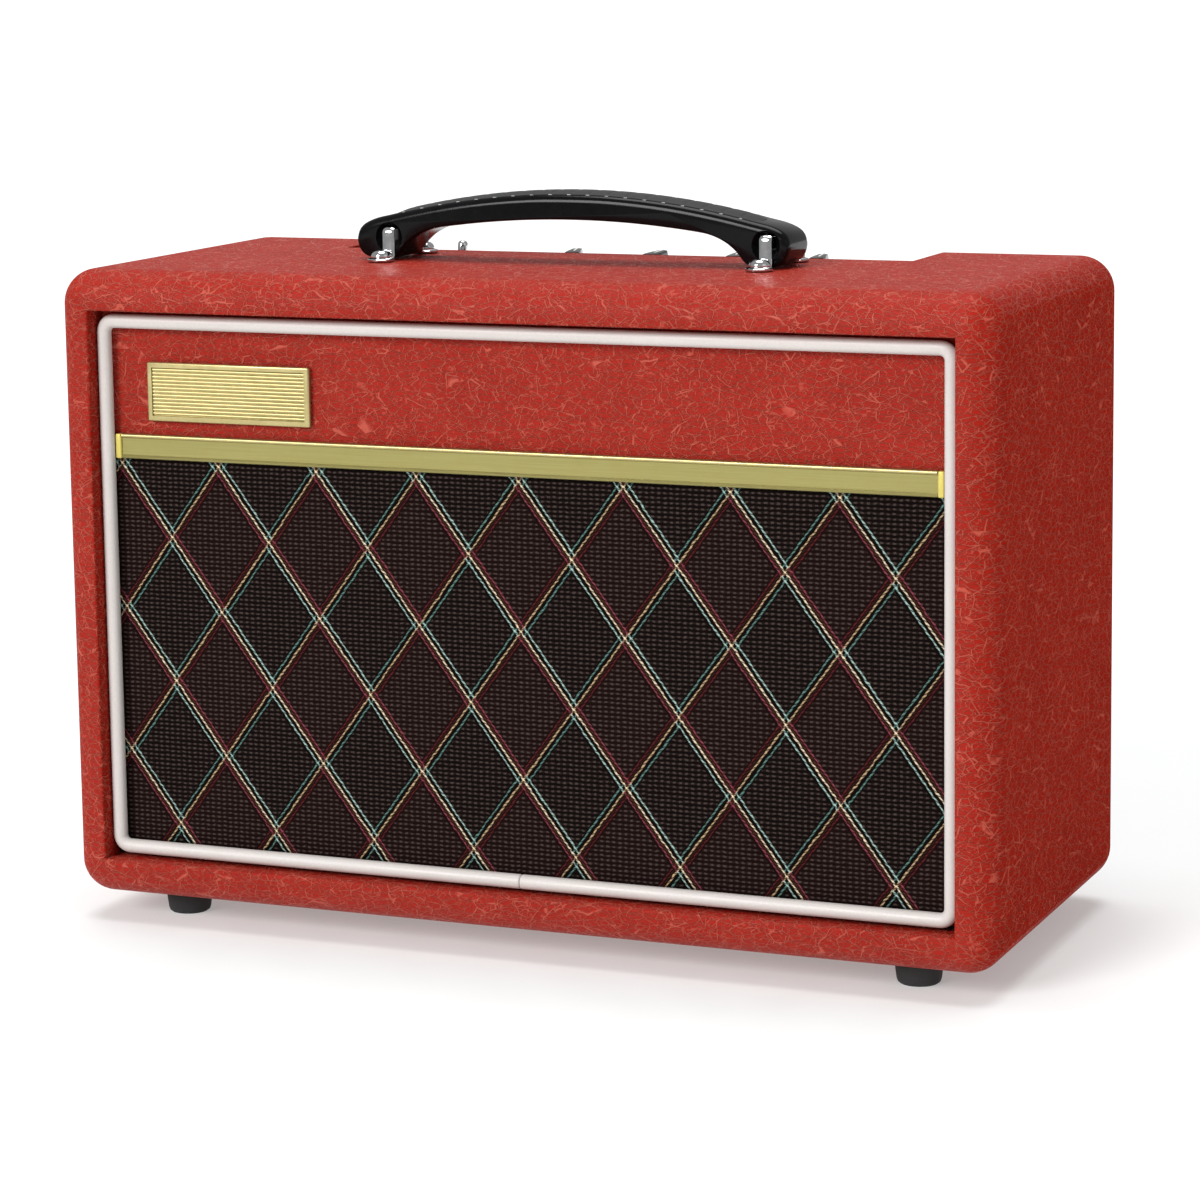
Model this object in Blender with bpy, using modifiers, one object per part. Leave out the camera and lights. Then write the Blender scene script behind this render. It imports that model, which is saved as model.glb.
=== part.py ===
"""A small guitar combo amplifier, one object for each piece it comes apart into.

Metres, +Z up, the grille faces -Y, and the feet stand on z = 0 around the origin.
"""

from math import cos, pi, radians, sin

import bmesh
import bpy
from mathutils import Matrix, Vector

# Driving sizes of the cabinet.
WIDTH = 0.380
DEPTH = 0.170
CABINET_HEIGHT = 0.248
FOOT_HEIGHT = 0.010
EDGE_ROUND = 0.0135
BOARD = 0.0130
SKIN = 0.0009
GAP = 0.0003
LIP_CHAMFER = 0.0005
CORNER_STEPS = 4

BASE = FOOT_HEIGHT
TOP = BASE + CABINET_HEIGHT
MIDDLE = (BASE + TOP) / 2
FRONT = -DEPTH / 2
REAR = DEPTH / 2
BOARD_INSET = SKIN + GAP
BOARD_INNER = BOARD_INSET + BOARD
LIP_INSET = BOARD_INNER + BOARD_INSET
OPENING_X = WIDTH / 2 - LIP_INSET
BOARD_X = WIDTH / 2 - BOARD_INNER

# Front trim.
CLOTH_FRONT = FRONT + 0.0109
SHEET = 0.0010
BAFFLE_FRONT = CLOTH_FRONT + SHEET + GAP
BAFFLE_THICK = 0.0120
LIP_END_FRONT = BAFFLE_FRONT - GAP
PIPING_RADIUS = 0.0028
PIPING_HALF_X = 0.1715
PIPING_LOW = BASE + 0.0197
PIPING_HIGH = BASE + 0.2282
PIPING_BEND = 0.0045
STRIP_LOW = BASE + 0.1743
STRIP_HIGH = BASE + 0.1840
STRIP_THICK = 0.0024
BADGE_CENTRE = (-0.1188, BASE + 0.2010)
BADGE_SIZE = (0.0700, 0.0230)

# Control recess, panel and chassis.
RECESS_HALF_X = 0.1210
RECESS_FRONT = 0.0340
PANEL_TOP = TOP - BOARD_INNER - GAP
PANEL_THICK = 0.0010
STEEL = 0.0012
CHASSIS_TOP = PANEL_TOP - PANEL_THICK - GAP
CHASSIS_HALF_X = 0.1280
CHASSIS_FRONT = 0.0280
CHASSIS_REAR = 0.0720
CHASSIS_LOW = 0.2085
CONTROL_Y = 0.0585
KNOB_X = {"gain": -0.031, "treble": 0.004, "bass": 0.039, "volume": 0.074}
# How far each pointer is turned at rest, in degrees, from -X towards +Y.
KNOB_TURN = {"gain": 75, "treble": 86, "bass": 80, "volume": 80}
KNOB_TOP = 0.0130
TOGGLE_X = -0.0815
LED_X = -0.1010
PHONES_X = -0.0580
BUTTON_X = 0.0925
INPUT_X = 0.1090
SHAFT_RADIUS = 0.0030
BORE_RADIUS = 0.0032

# Handle, brackets and feet.
HANDLE_X = -0.0030
HANDLE_Y = -0.0018
HANDLE_HALF_WIDTH = 0.0118
HANDLE_CROWN = 0.0270
HANDLE_CROWN_BEND = 1.60
HANDLE_UNDER = 0.0170
HANDLE_UNDER_BEND = 1.30
BRACKET_X = 0.0786
BRACKET_WIDTH = 0.0050
BRACKET_THICK = 0.0012
BRACKET_TOP = 0.0132
BRACKET_SIDE = 0.0137
BRACKET_FOOT = 0.0248
BRACKET_SCREW_Y = 0.0196
SLOT_LOW = 0.0062
SLOT_HIGH = 0.0137

# One leg of the handle, down its inner side and round its end: (from the middle, over the top).
HANDLE_LEG = [
    (0.0575, 0.0125),
    (0.0640, 0.0098),
    (0.0695, 0.0050),
    (0.0720, 0.0018),
    (0.0745, 0.0006),
    (0.0850, 0.0006),
    (0.0880, 0.0023),
    (0.0898, 0.0053),
    (0.0902, 0.0092),
    (0.0890, 0.0128),
    (0.0862, 0.0150),
]

FOOT_X = 0.1526
FOOT_Y = 0.0570
FOOT_RADII = (0.0092, 0.0082)

# Rear panels.
REAR_PANEL_FRONT = 0.0725
REAR_PANEL_THICK = 0.0060
REAR_GAP_LOW = 0.1150
REAR_GAP_HIGH = 0.1880
CLEAT = 0.0120
SCREW_X = OPENING_X - GAP - CLEAT / 2
INLET = (-0.1465, 0.2140)
INLET_DEEP = 0.0560

# Screw profiles, (radius, height over the seat).
WOOD_SCREW = [
    (0, 0.0022),
    (0.0022, 0.0018),
    (0.0038, 0),
    (0.0018, 0),
    (0.0018, -0.015),
    (0, -0.0165),
]
PAN_SCREW = [
    (0, 0.0030),
    (0.0020, 0.0027),
    (0.0036, 0.0014),
    (0.0040, 0),
    (0.0015, 0),
    (0.0015, -0.0012),
    (0, -0.0012),
]

# Speaker.
SPEAKER_Z = 0.1100
SPEAKER_FACE = BAFFLE_FRONT + BAFFLE_THICK + GAP
APERTURE_RADIUS = 0.0730

# Speaker sections in millimetres, (radius, distance behind the flange's front face).
BASKET_SECTION = [
    (14.5, 47.2),
    (42.8, 47.2),
    (75.2, 1.2),
    (82.5, 1.2),
    (82.5, 0),
    (73.3, 0),
    (73.3, 1.4),
    (41.5, 46),
    (14.5, 46),
]
CONE_SECTION = [
    (13.45, 27.7),
    (22, 22.2),
    (40, 12.7),
    (62, 1.1),
    (62, 0.4),
    (40, 12),
    (22, 21.5),
    (13.45, 27),
]

# Mains transformer.
TRANSFORMER_X = 0.1250
TRANSFORMER_Y = 0.0430
CORE = (0.0500, 0.0200, 0.0420)
LIMB = 0.0084
CENTRE_LIMB = 0.0166
WINDING_DEPTH = 0.0170


def clear_scene():
    for old in list(bpy.data.objects):
        bpy.data.objects.remove(old, do_unlink=True)


def collection(name, hidden=False):
    made = bpy.data.collections.new(name)
    made.hide_render = hidden
    bpy.context.scene.collection.children.link(made)
    return made


def material(name, colour, roughness, metallic=0.0):
    made = bpy.data.materials.new(name)
    made.use_nodes = True
    shader = made.node_tree.nodes["Principled BSDF"]
    shader.inputs["Base Color"].default_value = (*colour, 1.0)
    shader.inputs["Roughness"].default_value = roughness
    shader.inputs["Metallic"].default_value = metallic
    made.diffuse_color = (*colour, 1.0)
    return made


def add_mesh(name, mesh_maker, stuff, where):
    """An object from a bmesh, in the collection where."""
    mesh = bpy.data.meshes.new(name)
    mesh_maker.to_mesh(mesh)
    mesh_maker.free()
    made = bpy.data.objects.new(name, mesh)
    where.objects.link(made)
    if stuff:
        mesh.materials.append(stuff)
    return made


def part(name, mesh_maker, stuff):
    return add_mesh(name, mesh_maker, stuff, PARTS)


def hide_cutter(made):
    made.hide_render = True
    made.display_type = "WIRE"
    return made


def block(low, high):
    """A bmesh box between two corners."""
    maker = bmesh.new()
    bmesh.ops.create_cube(maker, size=1.0)
    low, high = Vector(low), Vector(high)
    size = high - low
    bmesh.ops.scale(maker, vec=size, verts=maker.verts)
    bmesh.ops.translate(maker, vec=(low + high) / 2, verts=maker.verts)
    return maker


def box(name, low, high, stuff):
    return part(name, block(low, high), stuff)


def box_cutter(name, low, high):
    return hide_cutter(add_mesh(name, block(low, high), None, CUTTERS))


def rod(centre, radius, length, axis="Z", sides=16):
    """A bmesh cylinder about a point, along a world axis."""
    maker = bmesh.new()
    bmesh.ops.create_cone(
        maker, cap_ends=True, segments=sides, radius1=radius, radius2=radius, depth=length
    )
    turns = {"X": Matrix.Rotation(pi / 2, 3, "Y"), "Y": Matrix.Rotation(pi / 2, 3, "X")}
    if axis in turns:
        bmesh.ops.rotate(maker, matrix=turns[axis], verts=maker.verts)
    bmesh.ops.translate(maker, vec=Vector(centre), verts=maker.verts)
    return maker


def rod_cutter(name, centre, radius, length, axis="Z", sides=16):
    maker = rod(centre, radius, length, axis, sides)
    return hide_cutter(add_mesh(name, maker, None, CUTTERS))


def combine(target, tool, operation="DIFFERENCE"):
    change = target.modifiers.new(operation.lower(), "BOOLEAN")
    change.operation = operation
    change.object = tool
    change.solver = "EXACT"
    return target


def prism(points, low, high, axis="Z"):
    """A bmesh prism: a flat outline pushed from low to high along an axis.

    The outline is (x, y) for Z, and (x, z) for Y.
    """
    maker = bmesh.new()
    rings = []
    for level in (low, high):
        if axis == "Z":
            spots = [(x, y, level) for x, y in points]
        else:
            spots = [(x, level, z) for x, z in points]
        rings.append([maker.verts.new(spot) for spot in spots])
    bottom, top = rings
    maker.faces.new(bottom)
    maker.faces.new(top)
    for i in range(len(points)):
        j = (i + 1) % len(points)
        maker.faces.new((bottom[i], bottom[j], top[j], top[i]))
    bmesh.ops.recalc_face_normals(maker, faces=maker.faces)
    return maker


def lathe(name, profile, stuff, place, sides=16, along_y=False, ring=False):
    """A turned piece. The profile is (radius, height), clockwise: out, down the outside, back in."""
    maker = bmesh.new()
    spots = [maker.verts.new((radius, 0, height)) for radius, height in profile]
    for first, second in zip(spots, spots[1:]):
        maker.edges.new((first, second))
    if ring:
        maker.edges.new((spots[-1], spots[0]))
    made = part(name, maker, stuff)
    made.location = place
    if along_y:
        made.rotation_euler = (-pi / 2, 0, 0)
    turn = made.modifiers.new("turn", "SCREW")
    turn.axis = "Z"
    turn.angle = 2 * pi
    turn.steps = sides
    turn.render_steps = sides
    turn.use_merge_vertices = True
    turn.merge_threshold = 0.00002
    turn.use_smooth_shade = False
    return made


def corner_ring(inset, y):
    """The cabinet's rounded outline seen from the front, moved in by inset, at a depth y."""
    round_off = max(EDGE_ROUND - inset, 0.0)
    reach = max(EDGE_ROUND, inset)
    half_x = WIDTH / 2 - reach
    half_z = CABINET_HEIGHT / 2 - reach
    spots = []
    for quarter, (sx, sz) in enumerate(((1, 1), (-1, 1), (-1, -1), (1, -1))):
        for step in range(CORNER_STEPS + 1):
            angle = (quarter + step / CORNER_STEPS) * pi / 2
            x = sx * half_x + round_off * cos(angle)
            z = MIDDLE + sz * half_z + round_off * sin(angle)
            spots.append((x, y, z))
    return spots


def swept_cabinet(loop):
    """A bmesh tube round the cabinet whose wall has the closed section loop of (y, inset)."""
    maker = bmesh.new()
    rings = [[maker.verts.new(spot) for spot in corner_ring(inset, y)] for y, inset in loop]
    count = len(rings[0])
    for i, ring in enumerate(rings):
        after = rings[(i + 1) % len(rings)]
        for k in range(count):
            n = (k + 1) % count
            maker.faces.new((ring[k], ring[n], after[n], after[k]))
    bmesh.ops.remove_doubles(maker, verts=maker.verts, dist=0.000001)
    bmesh.ops.recalc_face_normals(maker, faces=maker.faces)
    return maker


def rounded_side(inset, steps=5):
    """The outside of the wall from the front plane round to the rear plane, moved in by inset."""
    radius = EDGE_ROUND - inset
    spots = []
    for step in range(steps + 1):
        angle = step / steps * pi / 2
        spots.append((FRONT + EDGE_ROUND - radius * cos(angle), EDGE_ROUND - radius * sin(angle)))
    spots += [(-y, depth) for y, depth in reversed(spots)]
    return spots


def vinyl_section():
    outer = [(LIP_END_FRONT, LIP_INSET), (FRONT + LIP_CHAMFER, LIP_INSET)]
    outer += [(FRONT, LIP_INSET - LIP_CHAMFER)]
    outer += rounded_side(0.0)
    outer += [(REAR, LIP_INSET - LIP_CHAMFER), (REAR - LIP_CHAMFER, LIP_INSET)]
    outer += [(REAR_PANEL_FRONT, LIP_INSET)]
    back = LIP_INSET - SKIN
    inner = [(REAR_PANEL_FRONT, back), (REAR - SKIN, back)]
    inner += list(reversed(rounded_side(SKIN)))
    inner += [(FRONT + SKIN, back), (LIP_END_FRONT, back)]
    return outer + inner


def make_cabinet():
    """Four mitred boards, and the vinyl stretched over them."""
    section = rounded_side(BOARD_INSET)
    section += [(REAR - BOARD_INSET, BOARD_INNER), (FRONT + BOARD_INSET, BOARD_INNER)]
    ring = hide_cutter(add_mesh("board_ring", swept_cabinet(section), None, CUTTERS))
    inner_z = CABINET_HEIGHT / 2 - BOARD_INNER
    reach = 0.05
    apart = GAP / 2
    wedges = {}
    for name, side in (("side_panel_left", -1), ("side_panel_right", 1)):
        out, back = BOARD_X + reach + apart, BOARD_X - reach + apart
        up, low = inner_z + reach, inner_z - reach
        ends = ((out, up), (back, low), (back, -low), (out, -up))
        wedges[name] = [(side * x, z) for x, z in ends]
    for name, side in (("top_panel", 1), ("bottom_panel", -1)):
        out, back = inner_z + reach + apart, inner_z - reach + apart
        wide, narrow = BOARD_X + reach, BOARD_X - reach
        ends = ((-wide, out), (-narrow, back), (narrow, back), (wide, out))
        wedges[name] = [(x, side * z) for x, z in ends]
    for name, outline in wedges.items():
        outline = [(x, MIDDLE + z) for x, z in outline]
        board = part(name, prism(outline, 1.2 * FRONT, 1.2 * REAR, "Y"), WOOD)
        combine(board, ring, "INTERSECT")
    board_cut = box_cutter(
        "board_recess",
        (-RECESS_HALF_X - BOARD_INSET, RECESS_FRONT - BOARD_INSET, PANEL_TOP - 0.002),
        (RECESS_HALF_X + BOARD_INSET, 1.5 * REAR, TOP + 0.01),
    )
    combine(bpy.data.objects["top_panel"], board_cut)
    vinyl = part("vinyl_covering", swept_cabinet(vinyl_section()), VINYL)
    vinyl_cut = box_cutter(
        "vinyl_recess",
        (-RECESS_HALF_X, RECESS_FRONT, PANEL_TOP - 0.002),
        (RECESS_HALF_X, 1.5 * REAR, TOP + 0.01),
    )
    combine(vinyl, vinyl_cut)


def make_front():
    """Baffle board, grille cloth, fascia covering, gold strip, piping and badge."""
    baffle = box(
        "speaker_baffle",
        (-BOARD_X + GAP, BAFFLE_FRONT, BASE + BOARD_INNER + GAP),
        (BOARD_X - GAP, BAFFLE_FRONT + BAFFLE_THICK, TOP - BOARD_INNER - GAP),
        DARK_BOARD,
    )
    hole = rod_cutter(
        "aperture", (0, BAFFLE_FRONT, SPEAKER_Z), APERTURE_RADIUS, 0.05, axis="Y", sides=40
    )
    combine(baffle, hole)
    seam = (STRIP_LOW + STRIP_HIGH) / 2
    half_x = OPENING_X - GAP
    low, high = BASE + LIP_INSET + GAP, TOP - LIP_INSET - GAP
    back = CLOTH_FRONT + SHEET
    box("grille_cloth", (-half_x, CLOTH_FRONT, low), (half_x, back, seam), CLOTH)
    box("fascia_covering", (-half_x, CLOTH_FRONT, seam + GAP), (half_x, back, high), VINYL)
    strip_x = PIPING_HALF_X - PIPING_RADIUS - GAP
    strip_back = CLOTH_FRONT - GAP
    strip = box(
        "gold_strip",
        (-strip_x, strip_back - STRIP_THICK, STRIP_LOW),
        (strip_x, strip_back, STRIP_HIGH),
        GOLD,
    )
    ease_edges(strip, 0.0006)
    x, z = BADGE_CENTRE
    badge = box(
        "badge_plate",
        (x - BADGE_SIZE[0] / 2, strip_back - 0.0022, z - BADGE_SIZE[1] / 2),
        (x + BADGE_SIZE[0] / 2, strip_back, z + BADGE_SIZE[1] / 2),
        GOLD,
    )
    ease_edges(badge, 0.0006)
    make_piping()


def ease_edges(made, amount, segments=1):
    ease = made.modifiers.new("eased_edges", "BEVEL")
    ease.width = amount
    ease.segments = segments
    ease.limit_method = "ANGLE"


def make_piping():
    """A round bead bent to a rectangle, whose two ends meet at the bottom."""
    y = CLOTH_FRONT - GAP - PIPING_RADIUS
    half_x, low, high = PIPING_HALF_X, PIPING_LOW, PIPING_HIGH
    seam_x = -0.002
    spots = [(seam_x + GAP / 2, low)]
    corners = ((1, low, -90), (1, high, 0), (-1, high, 90), (-1, low, 180))
    for side, level, start in corners:
        x = side * (half_x - PIPING_BEND)
        z = level + (PIPING_BEND if level == low else -PIPING_BEND)
        for step in range(4):
            angle = radians(start + 30 * step)
            spots.append((x + PIPING_BEND * cos(angle), z + PIPING_BEND * sin(angle)))
    spots.append((seam_x - GAP / 2, low))
    wire("piping", [(x, y, z) for x, z in spots], PIPING_RADIUS, PIPING)


def wire(name, spots, radius, stuff):
    """A round bead or wire along straight-joined points, with closed ends."""
    line = bpy.data.curves.new(name, "CURVE")
    line.dimensions = "3D"
    spline = line.splines.new("POLY")
    spline.points.add(len(spots) - 1)
    for point, spot in zip(spline.points, spots):
        point.co = (*spot, 1.0)
    line.bevel_depth = radius
    line.bevel_resolution = 2
    line.use_fill_caps = True
    line.materials.append(stuff)
    made = bpy.data.objects.new(name, line)
    PARTS.objects.link(made)
    return made


def make_rear():
    """Two rear panels with an open slot between them, the cleats they screw to, and the inlet."""
    half_x = OPENING_X - GAP
    back = REAR_PANEL_FRONT + REAR_PANEL_THICK
    bottom = BASE + LIP_INSET + GAP
    levels = {
        "rear_panel_lower": (bottom, REAR_GAP_LOW),
        "rear_panel_upper": (REAR_GAP_HIGH, PANEL_TOP - PANEL_THICK - 2 * GAP),
    }
    screw_z = {"rear_panel_lower": REAR_GAP_LOW - 0.014, "rear_panel_upper": REAR_GAP_HIGH + 0.014}
    hole_number = 0
    for name, (low, high) in levels.items():
        panel = box(name, (-half_x, REAR_PANEL_FRONT, low), (half_x, back, high), DARK_BOARD)
        if name == "rear_panel_upper":
            x, z = INLET
            window = box_cutter(
                "inlet_window",
                (x - 0.0139, REAR_PANEL_FRONT - 0.01, z - 0.0103),
                (x + 0.0139, back + 0.01, z + 0.0103),
            )
            combine(panel, window)
        for side in (-1, 1):
            hole_number += 1
            spot = (side * SCREW_X, REAR_PANEL_FRONT, screw_z[name])
            hole = rod_cutter(f"screw_hole_{hole_number}", spot, 0.0021, 0.02, "Y", 10)
            combine(panel, hole)
    for side, word in ((-1, "left"), (1, "right")):
        inner, outer = SCREW_X - CLEAT / 2, SCREW_X + CLEAT / 2
        xs = sorted((side * inner, side * outer))
        cleat = box(
            f"rear_cleat_{word}",
            (xs[0], REAR_PANEL_FRONT - GAP - 0.014, BASE + BOARD_INNER + GAP),
            (xs[1], REAR_PANEL_FRONT - GAP, TOP - BOARD_INNER - GAP),
            WOOD,
        )
        for name, level in screw_z.items():
            spot = (side * SCREW_X, REAR_PANEL_FRONT, level)
            combine(cleat, rod_cutter(f"pilot_{name}_{word}", spot, 0.0021, 0.022, "Y", 10))
            lathe(
                f"{name}_screw_{word}",
                WOOD_SCREW,
                STEEL_SCREW,
                (side * SCREW_X, back + GAP, level),
                sides=10,
                along_y=True,
            )
    make_inlet(back)


def make_inlet(back):
    """A three-pin mains inlet: a flange, a box behind it, and a mouth with the pins standing in it."""
    x, z = INLET
    body_x, body_z, flange_x, flange_z = 0.0136, 0.0100, 0.0158, 0.0125
    inlet = box(
        "mains_inlet",
        (x - body_x, INLET_DEEP, z - body_z),
        (x + body_x, back + 0.0005, z + body_z),
        BLACK,
    )
    flange = block(
        (x - flange_x, back + GAP, z - flange_z), (x + flange_x, back + GAP + 0.0022, z + flange_z)
    )
    combine(inlet, hide_cutter(add_mesh("inlet_flange", flange, None, CUTTERS)), "UNION")
    mouth_floor = back - 0.0135
    mouth = [(x - 0.0118, z + 0.0080), (x - 0.0118, z - 0.0035), (x - 0.0073, z - 0.0080)]
    mouth += [(x + 0.0073, z - 0.0080), (x + 0.0118, z - 0.0035), (x + 0.0118, z + 0.0080)]
    hollow = add_mesh("inlet_mouth", prism(mouth, mouth_floor, back + 0.01, "Y"), None, CUTTERS)
    hide_cutter(hollow)
    for number, (dx, dz) in enumerate(((-0.0070, 0.0015), (0, -0.0025), (0.0070, 0.0015))):
        pin = box_cutter(
            f"inlet_pin_{number}",
            (x + dx - 0.0010, mouth_floor - 0.002, z + dz - 0.0020),
            (x + dx + 0.0010, mouth_floor + 0.0085, z + dz + 0.0020),
        )
        combine(hollow, pin)
    combine(inlet, hollow)


def make_feet():
    wide, narrow = FOOT_RADII
    profile = [(0, FOOT_HEIGHT - GAP), (wide, FOOT_HEIGHT - GAP)]
    profile += [(narrow, 0.0008), (narrow - 0.0008, 0), (0, 0)]
    for side, left_right in ((-1, "left"), (1, "right")):
        for end, front_rear in ((-1, "front"), (1, "rear")):
            lathe(
                f"foot_{front_rear}_{left_right}",
                profile,
                RUBBER,
                (side * FOOT_X, end * FOOT_Y, 0),
                sides=20,
            )


def handle_outline():
    """The handle seen from the front: under the arch, down a leg, round its end and over the crown.

    The half outline is (distance from the handle's middle, height over the cabinet's top).
    """
    half = [(x, HANDLE_UNDER - HANDLE_UNDER_BEND * x * x) for x in (0.0, 0.020, 0.036, 0.050)]
    half += HANDLE_LEG
    half += [(x, HANDLE_CROWN - HANDLE_CROWN_BEND * x * x) for x in (0.070, 0.050, 0.030, 0.012)]
    mirrored = [(-x, z) for x, z in reversed(half) if x > 0]
    return [(HANDLE_X + x, TOP + z) for x, z in half + mirrored]


def make_handle():
    """The moulded handle with a slot in each end, on strap brackets that let it lift a little."""
    low, high = HANDLE_Y - HANDLE_HALF_WIDTH, HANDLE_Y + HANDLE_HALF_WIDTH
    grip = part("handle_grip", prism(handle_outline(), low, high, "Y"), BLACK_GLOSS)
    for side, word in ((-1, "left"), (1, "right")):
        x = side * BRACKET_X
        half = BRACKET_WIDTH / 2
        slot = box_cutter(
            f"handle_slot_{word}",
            (x - half - 0.0006, low - 0.01, TOP + SLOT_LOW),
            (x + half + 0.0006, high + 0.01, TOP + SLOT_HIGH),
        )
        combine(grip, slot)
        strap = part(f"handle_bracket_{word}", strap_mesh(x, half), CHROME)
        for end, front_rear in ((-1, "front"), (1, "rear")):
            spot = (x, HANDLE_Y + end * BRACKET_SCREW_Y, TOP)
            hole = rod_cutter(f"strap_hole_{word}_{front_rear}", spot, 0.0019, 0.01, sides=10)
            combine(strap, hole)
            lift = 2 * GAP + BRACKET_THICK
            lathe(
                f"handle_screw_{front_rear}_{word}",
                PAN_SCREW,
                CHROME,
                (x, HANDLE_Y + end * BRACKET_SCREW_Y, TOP + lift),
                sides=12,
            )


def strap_mesh(x, half):
    """A flat strap bent like a hat: a foot, up, across through the handle, down, and a foot."""
    t = BRACKET_THICK
    foot, side, low, high = BRACKET_FOOT, BRACKET_SIDE, GAP, BRACKET_TOP
    right = [(foot, low), (foot, low + t), (side, low + t), (side, high - t), (side - t, high)]
    inner = [(side - t, low), (side - t, high - t)]
    outline = [(-y, z) for y, z in right]
    outline += [(y, z) for y, z in reversed(right)]
    outline += inner
    outline += [(-y, z) for y, z in reversed(inner)]
    maker = prism(outline, -half, half, "Y")
    bmesh.ops.rotate(maker, matrix=Matrix.Rotation(pi / 2, 3, "Z"), verts=maker.verts)
    bmesh.ops.translate(maker, vec=(x, HANDLE_Y, TOP), verts=maker.verts)
    return maker


def make_speaker():
    """The driver, turned about its own axis. Height runs rearwards from the flange's front face."""
    place = (0, SPEAKER_FACE, SPEAKER_Z)
    mm = 0.001

    def turned(name, profile, stuff, sides=32, ring=True):
        spots = [(radius * mm, height * mm) for radius, height in profile]
        return lathe(name, spots, stuff, place, sides=sides, along_y=True, ring=ring)

    basket = turned(
        "speaker_basket",
        BASKET_SECTION,
        BASKET,
        sides=40,
    )
    for number in range(4):
        angle = radians(45 + 90 * number)
        maker = block((0.046, 0.012, -0.020), (0.080, 0.040, 0.020))
        bmesh.ops.rotate(maker, matrix=Matrix.Rotation(angle, 3, "Y"), verts=maker.verts)
        bmesh.ops.translate(maker, vec=Vector(place), verts=maker.verts)
        window = hide_cutter(add_mesh(f"basket_window_{number}", maker, None, CUTTERS))
        combine(basket, window)
    roll = [(67 + 3.7 * cos(radians(30 * k)), 0.4 - 3.7 * sin(radians(30 * k))) for k in range(7)]
    inner_roll = [(67 + 3.1 * cos(radians(30 * k)), 1.0 - 3.5 * sin(radians(30 * k))) for k in range(7)]
    surround = [(62.3, 1.0)] + list(reversed(inner_roll)) + [(73.0, 1.0), (73.0, 0.4)]
    surround += roll + [(62.3, 0.4)]
    turned("speaker_surround", surround, RUBBER, sides=40)
    turned("speaker_cone", CONE_SECTION, PAPER)
    cap = [(0, 17.5), (10, 18.9), (19, 22.8), (19, 22.3), (10, 18.4), (0, 17)]
    turned("dust_cap", cap, PAPER, sides=24, ring=False)
    turned("voice_coil", [(12.6, 50), (13.1, 50), (13.1, 27.9), (12.6, 27.9)], COPPER, sides=28)
    waves = [(14 + 3 * k, 44.3 + (0.7 if k % 2 else -0.7)) for k in range(10)]
    spider = [(radius, height + 0.5) for radius, height in waves] + list(reversed(waves))
    turned("speaker_spider", spider, SPIDER, sides=28)
    turned("speaker_top_plate", [(13.7, 52.5), (36, 52.5), (36, 47.5), (13.7, 47.5)], STEEL_PLATE)
    turned("speaker_magnet", [(18, 67.8), (40, 67.8), (40, 52.8), (18, 52.8)], MAGNET)
    yoke = [(0, 73.1), (36, 73.1), (36, 68.1), (12.1, 68.1), (12.1, 48.5), (0, 48.5)]
    turned("speaker_yoke", yoke, STEEL_PLATE, ring=False)


def control_holes():
    """(x, radius) of every hole that the panel and the chassis share."""
    holes = [(x, 0.0042) for x in KNOB_X.values()]
    holes += [(TOGGLE_X, 0.0035), (LED_X, 0.0029), (BUTTON_X, 0.0056)]
    holes += [(PHONES_X, 0.0048), (INPUT_X, 0.0048)]
    return holes


def make_chassis():
    """A folded steel channel, the control panel on it, and the circuit board inside it."""
    low, top = CHASSIS_LOW, CHASSIS_TOP
    outer = block((-CHASSIS_HALF_X, CHASSIS_FRONT, low), (CHASSIS_HALF_X, CHASSIS_REAR, top))
    chassis = part("chassis", outer, STEEL_PLATE)
    hollow = box_cutter(
        "chassis_hollow",
        (-0.2, CHASSIS_FRONT + STEEL, low - 0.01),
        (0.2, CHASSIS_REAR - STEEL, top - STEEL),
    )
    combine(chassis, hollow)
    panel = box(
        "control_panel",
        (-RECESS_HALF_X + 0.0005, RECESS_FRONT + 0.0005, PANEL_TOP - PANEL_THICK),
        (RECESS_HALF_X - 0.0005, REAR - 0.001, PANEL_TOP),
        PANEL_BLACK,
    )
    for number, (x, radius) in enumerate(control_holes()):
        hole = rod_cutter(f"control_hole_{number}", (x, CONTROL_Y, top), radius, 0.01)
        combine(chassis, hole)
        combine(panel, hole)
    board_top = CHASSIS_TOP - STEEL - GAP - 0.0203
    box(
        "circuit_board",
        (-0.116, CHASSIS_FRONT + STEEL + 0.002, board_top - 0.0016),
        (0.122, CHASSIS_REAR - STEEL - 0.001, board_top),
        PCB,
    )


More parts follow.
